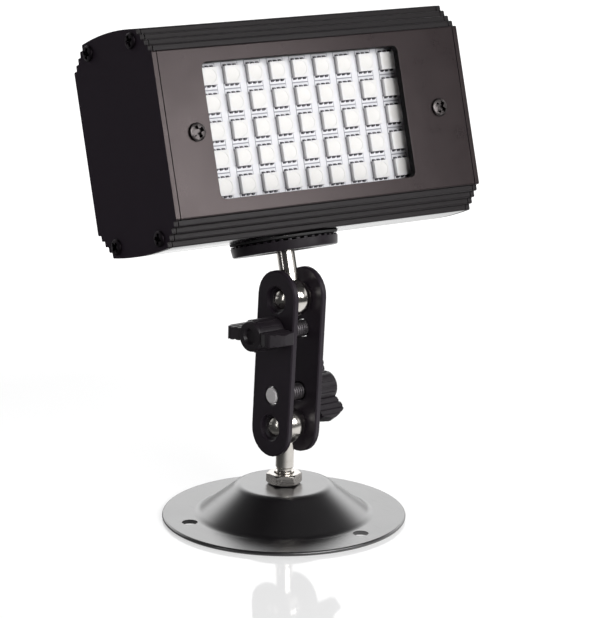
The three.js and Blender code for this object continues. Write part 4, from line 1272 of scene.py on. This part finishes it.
@dataclass
class LedUnit(Dresser):
    """The white board and its grid of square LEDs.

    The fill is the section of an LED's phosphor: radius, and height over the floor of its cup.
    """

    columns: int = 9
    rows: int = 5
    pitch_x: float = 7.74
    pitch_z: float = 7.67
    side: float = 5.0
    rise: float = 1.6
    cup: float = 2.02
    cup_depth: float = 0.3
    cup_sides: int = 32
    fill: tuple[Point, ...] = (
        (0.0, 0.12),
        (1.1, 0.14),
        (1.8, 0.2),
        (2.0, 0.24),
        (2.0, -0.05),
        (0.0, -0.05),
    )
    fill_sides: int = 28
    edge: float = 0.16
    grid_x: float = -0.9
    grid_z: float = 30.05
    front: float = -13.8
    board: Triple = (69.2, 1.6, 43.0)
    lead: Triple = (0.95, 0.75, 0.34)
    lead_pitch: float = 1.65
    lead_sink: float = 0.02
    lead_splay: float = 0.3
    lead_edge: float = 0.07
    land: Triple = (5.3, 0.1, 1.5)
    land_shift: Point = (0.12, 0.42)
    land_edge: float = 0.06
    line: float = 0.34
    line_rise: float = 0.4
    line_edge: float = 0.02
    board_edge: float = 0.12

    def package(self) -> Piece:
        """Models one LED: body, cup, phosphor, leads and the raised lands under them.

        Returns:
            The LED in its own axes, its seat at depth 0.
        """
        size = (self.side, self.rise, self.side)
        body = block("led_body", size, (0.0, -self.rise / 2, 0.0), self.edge)
        tool = disc("cup_tool", self.cup, 2 * self.cup_depth, self.cup_sides, (0.0, 0.0, 0.0))
        rotate(tool, 90, "X")
        move(tool, Matrix.Translation((0, -self.rise, 0)))
        cut(body, tool)
        smooth(body)
        dress(body, self.finishes.package)
        parts = [body, self.lens()]
        for end in (-1, 1):
            for x in (-self.lead_pitch, 0.0, self.lead_pitch):
                parts.append(self.one_lead(x, end))
            parts += self.one_land(end)
        return join("led", parts)

    def lens(self) -> Piece:
        """Models the phosphor fill with its slight hollow.

        Returns:
            The fill.
        """
        floor = self.rise - self.cup_depth
        profile = [(radius, floor + height) for radius, height in self.fill]
        piece = lathe("led_fill", profile, self.fill_sides)
        rotate(piece, 90, "X")
        smooth(piece)
        dress(piece, self.finishes.phosphor)
        return piece

    def one_lead(self, x: float, end: int) -> Piece:
        """Models one folded lead with its fillet of solder, coloured near black as a painted dark
        reflection.

        Args:
            x: Place across the LED.
            end: -1 for the lower side, 1 for the upper.

        Returns:
            The lead.
        """
        high, deep = self.lead[1:]
        place = (x, -high / 2, end * (self.side / 2 + deep / 2 - self.lead_sink))
        piece = block("led_lead", self.lead, place)
        edge = self.side / 2 + deep / 2
        edit_some(piece, lambda v: end * v.z > edge and v.y > -high / 2)
        bpy.ops.transform.translate(value=(0.0, 0.0, end * self.lead_splay))
        close()
        round_edges(piece, self.lead_edge, 1)
        dress(piece, self.finishes.tin_painted_dark)
        return piece

    def one_land(self, end: int) -> list[Piece]:
        """Models the copper land that stands out under the white mask, and a grey outline round it, which
        is painted shade at the land's raised edge.

        Args:
            end: -1 for the lower side, 1 for the upper.

        Returns:
            The land and its outline.
        """
        wide, high, deep = self.land
        x, out = self.land_shift
        z = end * (self.side / 2 + out)
        land = block("led_land", self.land, (x, -high / 2, z), self.land_edge, 1)
        dress(land, self.finishes.mask)
        # The outline is painted shade round the land's edge.
        rise = high * self.line_rise
        size = (wide + self.line, rise, deep + self.line)
        line = block("led_land_shade_line", size, (x, -rise / 2, z), self.line_edge, 1)
        dress(line, self.finishes.land_shade_outline)
        return [land, line]

    def build(self) -> None:
        """Builds the board and copies one LED over its grid."""
        sheet = block("led_sheet", self.board, (0.0, self.board[1] / 2, 0.0), self.board_edge)
        smooth(sheet)
        spot = HEAD.moved(self.grid_x, self.front, self.grid_z)
        self.finish(sheet, self.finishes.mask, spot, Body.HEAD, Slot.BOARD, "led_board")
        master = self.package()
        for column in range(self.columns):
            for row in range(self.rows):
                x = self.grid_x + (column - (self.columns - 1) / 2) * self.pitch_x
                z = self.grid_z + (row - (self.rows - 1) / 2) * self.pitch_z
                piece = copy(master, f"led_{column + 1}_{row + 1}")
                move(piece, HEAD.moved(x, self.front, z).matrix())
                self.ride(piece, Body.HEAD, Slot.BOARD)
        bpy.data.objects.remove(master)


@dataclass(frozen=True)
class Pan:
    """Sizes of one pan screw: radius and height of its head, radius and length of its shank."""

    head: float
    rise: float
    shank: float
    length: float


@dataclass
class Screws(Dresser):
    """Cross-recessed pan screws of the front panel and the end plates.

    The crown is the section of a head, as shares of its radius and height, and the point is the
    share of the radius that is cut off at the tip.
    """

    panel_spread: float = 42.2
    panel_front: float = -20.3
    middle: float = 30.05
    end_front: float = 53.2
    ports: tuple[tuple[str, float, float], ...] = (
        ("front_low", -11.0, 2.9),
        ("back_low", 11.0, 2.9),
        ("front_high", -11.0, 57.2),
        ("back_high", 11.0, 57.2),
    )
    large: Pan = Pan(2.6, 0.75, 1.45, 15.0)
    small: Pan = Pan(2.3, 0.7, 1.25, 9.0)
    sides: int = 40
    point: float = 0.3
    crown: tuple[Point, ...] = (
        (0.98, 0.0),
        (1.0, 0.08),
        (1.0, 0.35),
        (0.97, 0.58),
        (0.90, 0.78),
        (0.78, 0.92),
        (0.60, 0.99),
    )
    cross: Point = (1.6, 0.5)
    cross_taper: Triple = (0.75, 0.85, 1.0)
    pit: float = 0.36
    pit_sides: int = 12
    tool_height: float = 2.4
    tool_lift: float = 0.15
    panel_turn: Point = (40.0, 15.0)
    end_turn: Point = (17.0, 31.0)

    def screw(self, name: str, size: Pan, look: Material) -> Piece:
        """Models one pan screw with its cross recess.

        Args:
            name: The piece's name.
            size: Its sizes.
            look: Its finish.

        Returns:
            The screw, its head's underside at height 0.
        """
        shank = size.shank
        profile = [
            (0.0, -size.length),
            (shank * (1 - self.point), -size.length),
            (shank, -size.length + shank * self.point),
            (shank, 0.0),
            *((size.head * out, size.rise * up) for out, up in self.crown),
            (0.0, size.rise),
        ]
        piece = lathe(name, profile, self.sides)
        middle = (0.0, 0.0, size.rise + self.tool_lift)
        long, wide = self.cross
        for turn in (0, 90):
            bar = block("cross_bar", (size.head * long, size.head * wide, self.tool_height), middle)
            edit_some(bar, lambda v: v.z < 0.0)
            bpy.ops.transform.resize(value=self.cross_taper)
            close()
            rotate(bar, turn, "Z")
            cut(piece, bar)
        cut(piece, disc("cross_pit", size.head * self.pit, self.tool_height, self.pit_sides, middle))
        smooth(piece, PRESSED)
        dress(piece, look)
        return piece

    def drive(self, screw: Piece, node: str, spot: Placement, out: Triple, across: Triple) -> None:
        """Puts a copy of a screw at its place.

        Args:
            screw: The screw that is copied.
            node: The CAD node that the copy stands for.
            spot: Placement of the lamp's axes at the screw.
            out: Direction of the screw's head in those axes.
            across: Direction of one bar of its recess in those axes.
        """
        piece = copy(screw, f"cross_{node}")
        move(piece, spot.facing(out, across).matrix())
        self.ride(piece, Body.HEAD, Slot.SCREW, node)

    def build(self) -> None:
        """Builds the two sizes and copies them to their places, each turned its own way."""
        large = self.screw("panel_screw", self.large, self.finishes.panel_screw)
        small = self.screw("end_screw", self.small, self.finishes.screw)
        for side, word in ((-1, "left"), (1, "right")):
            spot = HEAD.moved(side * self.panel_spread, self.panel_front, self.middle)
            turn = math.radians(self.panel_turn[0] + self.panel_turn[1] * side)
            across = (math.cos(turn), 0.0, math.sin(turn))
            self.drive(large, f"panel_screw_{word}", spot, (0.0, -1.0, 0.0), across)
            for number, (place, y, z) in enumerate(self.ports):
                spot = HEAD.moved(side * self.end_front, y, z)
                turn = math.radians(self.end_turn[0] + self.end_turn[1] * number)
                across = (0.0, math.cos(turn), math.sin(turn))
                self.drive(small, f"{word}_end_screw_{place}", spot, (float(side), 0.0, 0.0), across)
        bpy.data.objects.remove(large)
        bpy.data.objects.remove(small)


@dataclass
class Housing(Dresser):
    """Ribbed extrusion, its end plates and the front panel.

    Down, across, ahead and edgewise are shares of a face's direction, which tell which way it looks.
    """

    rib_edge: float = 0.32
    plate_edge: float = 0.32
    panel_edge: float = 0.2
    under: float = 0.9
    level: float = -18.6
    down: float = 0.9
    across: float = 0.7
    ahead: float = 0.7
    edgewise: float = 0.6

    def share(self, piece: Piece, look: Material, test: FaceTest) -> None:
        """Gives some faces of a piece a finish of their own.

        Args:
            piece: The piece, with its first finish.
            look: The other finish.
            test: Says from a face's direction and centre, on the lamp's axes, whether it takes it.
        """
        piece.data.materials.append(look)
        turn = HEAD.turn().transposed()
        back = HEAD.matrix().inverted()
        for face in piece.data.polygons:
            if test(turn @ face.normal, back @ face.center):
                face.material_index = len(piece.data.materials) - 1

    def build(self) -> None:
        """Refines the shells: the extrusion's underside, the plates' rims and fronts differ in finish, and
        the panel's edges are darkened as painted shade.
        """
        looks = self.finishes
        body = self.refine("housing_extrusion", looks.extrusion, self.rib_edge)
        self.share(body, looks.underside, lambda out, place: out.z < -self.down and place.z < self.under)
        self.ride(body, Body.HEAD, Slot.EXTRUSION, "housing_extrusion")
        for node in ("left_end_plate", "right_end_plate"):
            plate = self.refine(node, looks.plate, self.plate_edge)
            self.share(plate, looks.extrusion, lambda out, place: abs(out.x) < self.across)
            self.share(
                plate, looks.panel, lambda out, place: out.y < -self.ahead and place.y < self.level
            )
            self.ride(plate, Body.HEAD, Slot.EXTRUSION, node)
        sheet = self.refine("front_panel", looks.panel, self.panel_edge)
        # The panel's edge faces take the near-black finish, a painted shade on the window walls.
        self.share(sheet, looks.wall, lambda out, place: abs(out.y) < self.edgewise)
        self.ride(sheet, Body.HEAD, Slot.PANEL, "front_panel")


@dataclass
class Controls(Dresser):
    """Speed knob and low-voltage inlet on the rear wall, and what sits inside the lamp."""

    edge: float = 0.15
    back: float = 20.07
    offset: float = 23.0
    height: float = 30.05
    sweep: float = 150.0
    ticks: int = 11
    tick_group: int = 5
    tick_radius: float = 9.6
    tick_width: float = 0.45
    tick_depth: float = 0.06
    tick_long: float = 1.9
    tick_short: float = 1.3
    tick_edge: float = 0.02

    def knob(self) -> None:
        """Refines the speed knob and dresses its shaft."""
        knob = self.refine("speed_knob", self.finishes.control, self.edge)
        self.ride(knob, Body.SPEED, Slot.PLASTIC, "speed_knob")
        self.paint(self.finishes.mill, "potentiometer_shaft")

    def scale(self) -> None:
        """Models the ring of printed marks round the speed knob, every fifth one longer."""
        marks = []
        for i in range(self.ticks):
            tall = self.tick_short if i % self.tick_group else self.tick_long
            size = (self.tick_width, self.tick_depth, tall)
            mark = block("mark", size, (0.0, 0.0, self.tick_radius + tall / 2), self.tick_edge, 1)
            rotate(mark, self.sweep * (2 * i / (self.ticks - 1) - 1), "Y")
            marks.append(mark)
        piece = join("speed_marks", marks)
        spot = HEAD.moved(self.offset, self.back, self.height)
        self.finish(piece, self.finishes.ink, spot, Body.HEAD, Slot.BOARD)

    def inside(self) -> None:
        """Refines the inlet and dresses the nodes that sit inside the lamp."""
        looks = self.finishes
        inlet = self.refine("power_inlet", looks.control, self.edge)
        self.ride(inlet, Body.HEAD, Slot.PLASTIC, "power_inlet")
        self.paint(looks.nut, "panel_nut_left", "panel_nut_right", "potentiometer_nut", "inlet_nut")
        self.paint(looks.mill, "carrier_plate", "panel_spacer_left", "panel_spacer_right", "mount_bush")
        self.paint(looks.mill, "speed_potentiometer")
        self.paint(looks.pad, "thermal_pad")
        self.paint(looks.fibreglass, "driver_board")

    def build(self) -> None:
        """Builds the controls."""
        self.knob()
        self.scale()
        self.inside()


@dataclass(frozen=True)
class Lamp:
    """One soft lamp: its place, the point it faces and its width and height in metres, and its watts."""

    name: str
    place: Triple
    aim: Triple
    size: Point
    power: float

    def light(self) -> None:
        """Adds the lamp to the scene."""
        data = bpy.data.lights.new(self.name, "AREA")
        data.shape = "RECTANGLE"
        data.size, data.size_y = self.size
        data.energy = self.power
        thing = bpy.data.objects.new(self.name, data)
        bpy.context.scene.collection.objects.link(thing)
        thing.visible_camera = False
        thing.location = self.place
        away = Vector(self.place) - Vector(self.aim)
        thing.rotation_euler = away.to_track_quat("Z", "Y").to_euler()


@dataclass
class Studio:
    """White room, soft lamps and the photograph's camera.

    Each of its pairs of numbers is a soft step: where it is 0 and where it is 1.
    """

    aim: Triple = (-5.104, -9.076, 61.8)
    toward: Triple = (-0.584, -0.7685, 0.2613)
    distance: float = 865.5
    roll: float = 0.39
    lens: float = 177.95
    sensor: float = 36.0
    dark: float = 0.05
    wall: float = 2.2
    side: float = 0.9
    floor_size: float = 8.0
    floor_drop: float = 0.1
    floor_low: Triple = (0.90, 0.90, 0.905)
    floor_high: Triple = (0.92, 0.92, 0.92)
    floor_patch: float = 60.0
    floor_polish: float = 0.04
    floor_uneven: float = 0.02
    floor_fade: float = 0.55
    floor_glow: float = 1.27
    glow_least: float = 0.05
    glow_beside: float = 0.90
    glow_behind: float = 0.95
    white_near: float = 0.4
    white_far: float = 0.5
    floor_ior: float = 1.62
    floor_right: Triple = (0.95, -0.3, 0.0)
    floor_back: Triple = (0.55, 0.83, 0.0)
    mirror_end: Point = (150.0, 270.0)
    beside_end: Point = (250.0, 160.0)
    beside_start: Point = (-60.0, 40.0)
    behind_start: Point = (110.0, 220.0)
    behind_end: Point = (460.0, 330.0)
    room_right: Triple = (0.954, -0.301, 0.0)
    room_back: Triple = (0.52, 0.85, 0.0)
    right_zone: Point = (0.80, 0.97)
    back_zone: Point = (0.1, 0.75)
    room_top: Point = (0.60, 0.40)
    room_foot: Point = (0.04, 0.20)
    lamps: tuple[Lamp, ...] = (
        Lamp("key_box", (-0.05, -1.08, 0.62), (0.0, 0.0, 0.09), (0.7, 0.5), 8.8),
        Lamp("near_box", (0.150, -0.290, 0.185), (-0.045, -0.02, 0.105), (0.08, 0.14), 0.29),
        Lamp("left_strip", (-0.8, 0.05, 0.25), (0.0, 0.0, 0.09), (0.06, 0.6), 0.45),
    )

    def camera(self) -> None:
        """Places the camera where the photograph was taken."""
        data = bpy.data.cameras.new("camera")
        data.sensor_fit = "VERTICAL"
        data.sensor_height = self.sensor
        data.sensor_width = self.sensor
        data.lens = self.lens
        data.clip_start = 0.01
        data.clip_end = 100.0
        thing = bpy.data.objects.new("camera", data)
        bpy.context.scene.collection.objects.link(thing)
        away = Vector(self.toward).normalized()
        right = (-away).cross(Vector((0, 0, 1))).normalized()
        up = right.cross(-away)
        turn = math.radians(self.roll)
        across = right * math.cos(turn) + up * math.sin(turn)
        above = up * math.cos(turn) - right * math.sin(turn)
        matrix = Matrix((across, above, away)).transposed().to_4x4()
        matrix.translation = (Vector(self.aim) + away * self.distance) * MM
        thing.matrix_world = matrix
        bpy.context.scene.camera = thing
        LOG.info("camera at %s", tuple(round(v, 4) for v in matrix.translation))

    def floor(self) -> None:
        """Lays the pale floor: it mirrors the object close by, and is plain white farther off.

        The object's own mirror images of the floor are bright only beside and behind the foot.
        """
        bpy.ops.mesh.primitive_plane_add(size=self.floor_size, location=(0.0, 0.0, -self.floor_drop * MM))
        piece = named("studio_floor")
        recipe = Recipe("studio_floor", BASE)
        cloud = recipe.noise(self.floor_patch, 2.0)
        radius = recipe.measure("LENGTH", recipe.where)
        away = radius.step(*self.mirror_end)
        recipe.set(
            Base_Color=recipe.tint(cloud, self.floor_low, self.floor_high),
            Roughness=self.floor_polish + self.floor_uneven * cloud + self.floor_fade * away,
            IOR=self.floor_ior,
        )
        rays = recipe.node("ShaderNodeLightPath").outputs
        seen = Wire(recipe, rays["Is Camera Ray"])
        mirrored = Wire(recipe, rays["Is Glossy Ray"])
        right = recipe.measure("DOT_PRODUCT", recipe.where, self.floor_right)
        back = recipe.measure("DOT_PRODUCT", recipe.where, self.floor_back)
        beside = radius.step(*self.beside_end) * right.step(*self.beside_start)
        behind = back.step(*self.behind_start) * back.step(*self.behind_end)
        glow = self.glow_least + self.glow_beside * beside + self.glow_behind * behind
        level = seen * self.floor_glow + mirrored * glow
        white = recipe.node("ShaderNodeEmission", {}, {0: WHITE, 1: level})
        share = seen * (self.white_near + self.white_far * away) + mirrored
        values = {0: share, 1: recipe.shader.outputs[0], 2: white.outputs[0]}
        mixed = recipe.node("ShaderNodeMixShader", {}, values)
        recipe.feed(recipe.output, 0, mixed.outputs[0])
        dress(piece, recipe.material)

    def world(self) -> None:
        """Makes the room: white behind the object, darker above and in front."""
        world = bpy.data.worlds.new("studio")
        bpy.context.scene.world = world
        nodes = Nodes(world)
        way = nodes.node("ShaderNodeTexCoord").outputs["Generated"]
        height = nodes.part_of(way, 2)
        back = nodes.measure("DOT_PRODUCT", way, self.room_back).step(*self.back_zone)
        right = nodes.measure("DOT_PRODUCT", way, self.room_right).step(*self.right_zone)
        low = height.step(*self.room_top) * height.step(*self.room_foot)
        room = self.dark + low * (self.wall * back + self.side * right)
        seen = Wire(nodes, nodes.node("ShaderNodeLightPath").outputs["Is Camera Ray"])
        level = seen + (1 - seen) * room
        glow = nodes.node("ShaderNodeBackground", {}, {0: WHITE, 1: level})
        nodes.node("ShaderNodeOutputWorld", {}, {0: glow.outputs[0]})

    def build(self) -> None:
        """Builds the studio."""
        self.camera()
        self.floor()
        self.world()
        for lamp in self.lamps:
            lamp.light()
        bpy.context.scene.view_settings.view_transform = "Standard"
        LOG.info("studio ready")


def main() -> None:
    """Builds every part of the scene in order."""
    logging.basicConfig(level=logging.INFO, format="%(name)s: %(message)s")
    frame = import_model()
    finishes = Finishes()
    for assembly in (Foot, Studs, ClampArm, LedUnit, Screws, Housing, Controls):
        part = assembly(frame, finishes)
        part.build()
        LOG.info("%s: %d pieces", assembly.__name__, len(part.made))
    Studio().build()


if __name__ == "__main__":
    main()
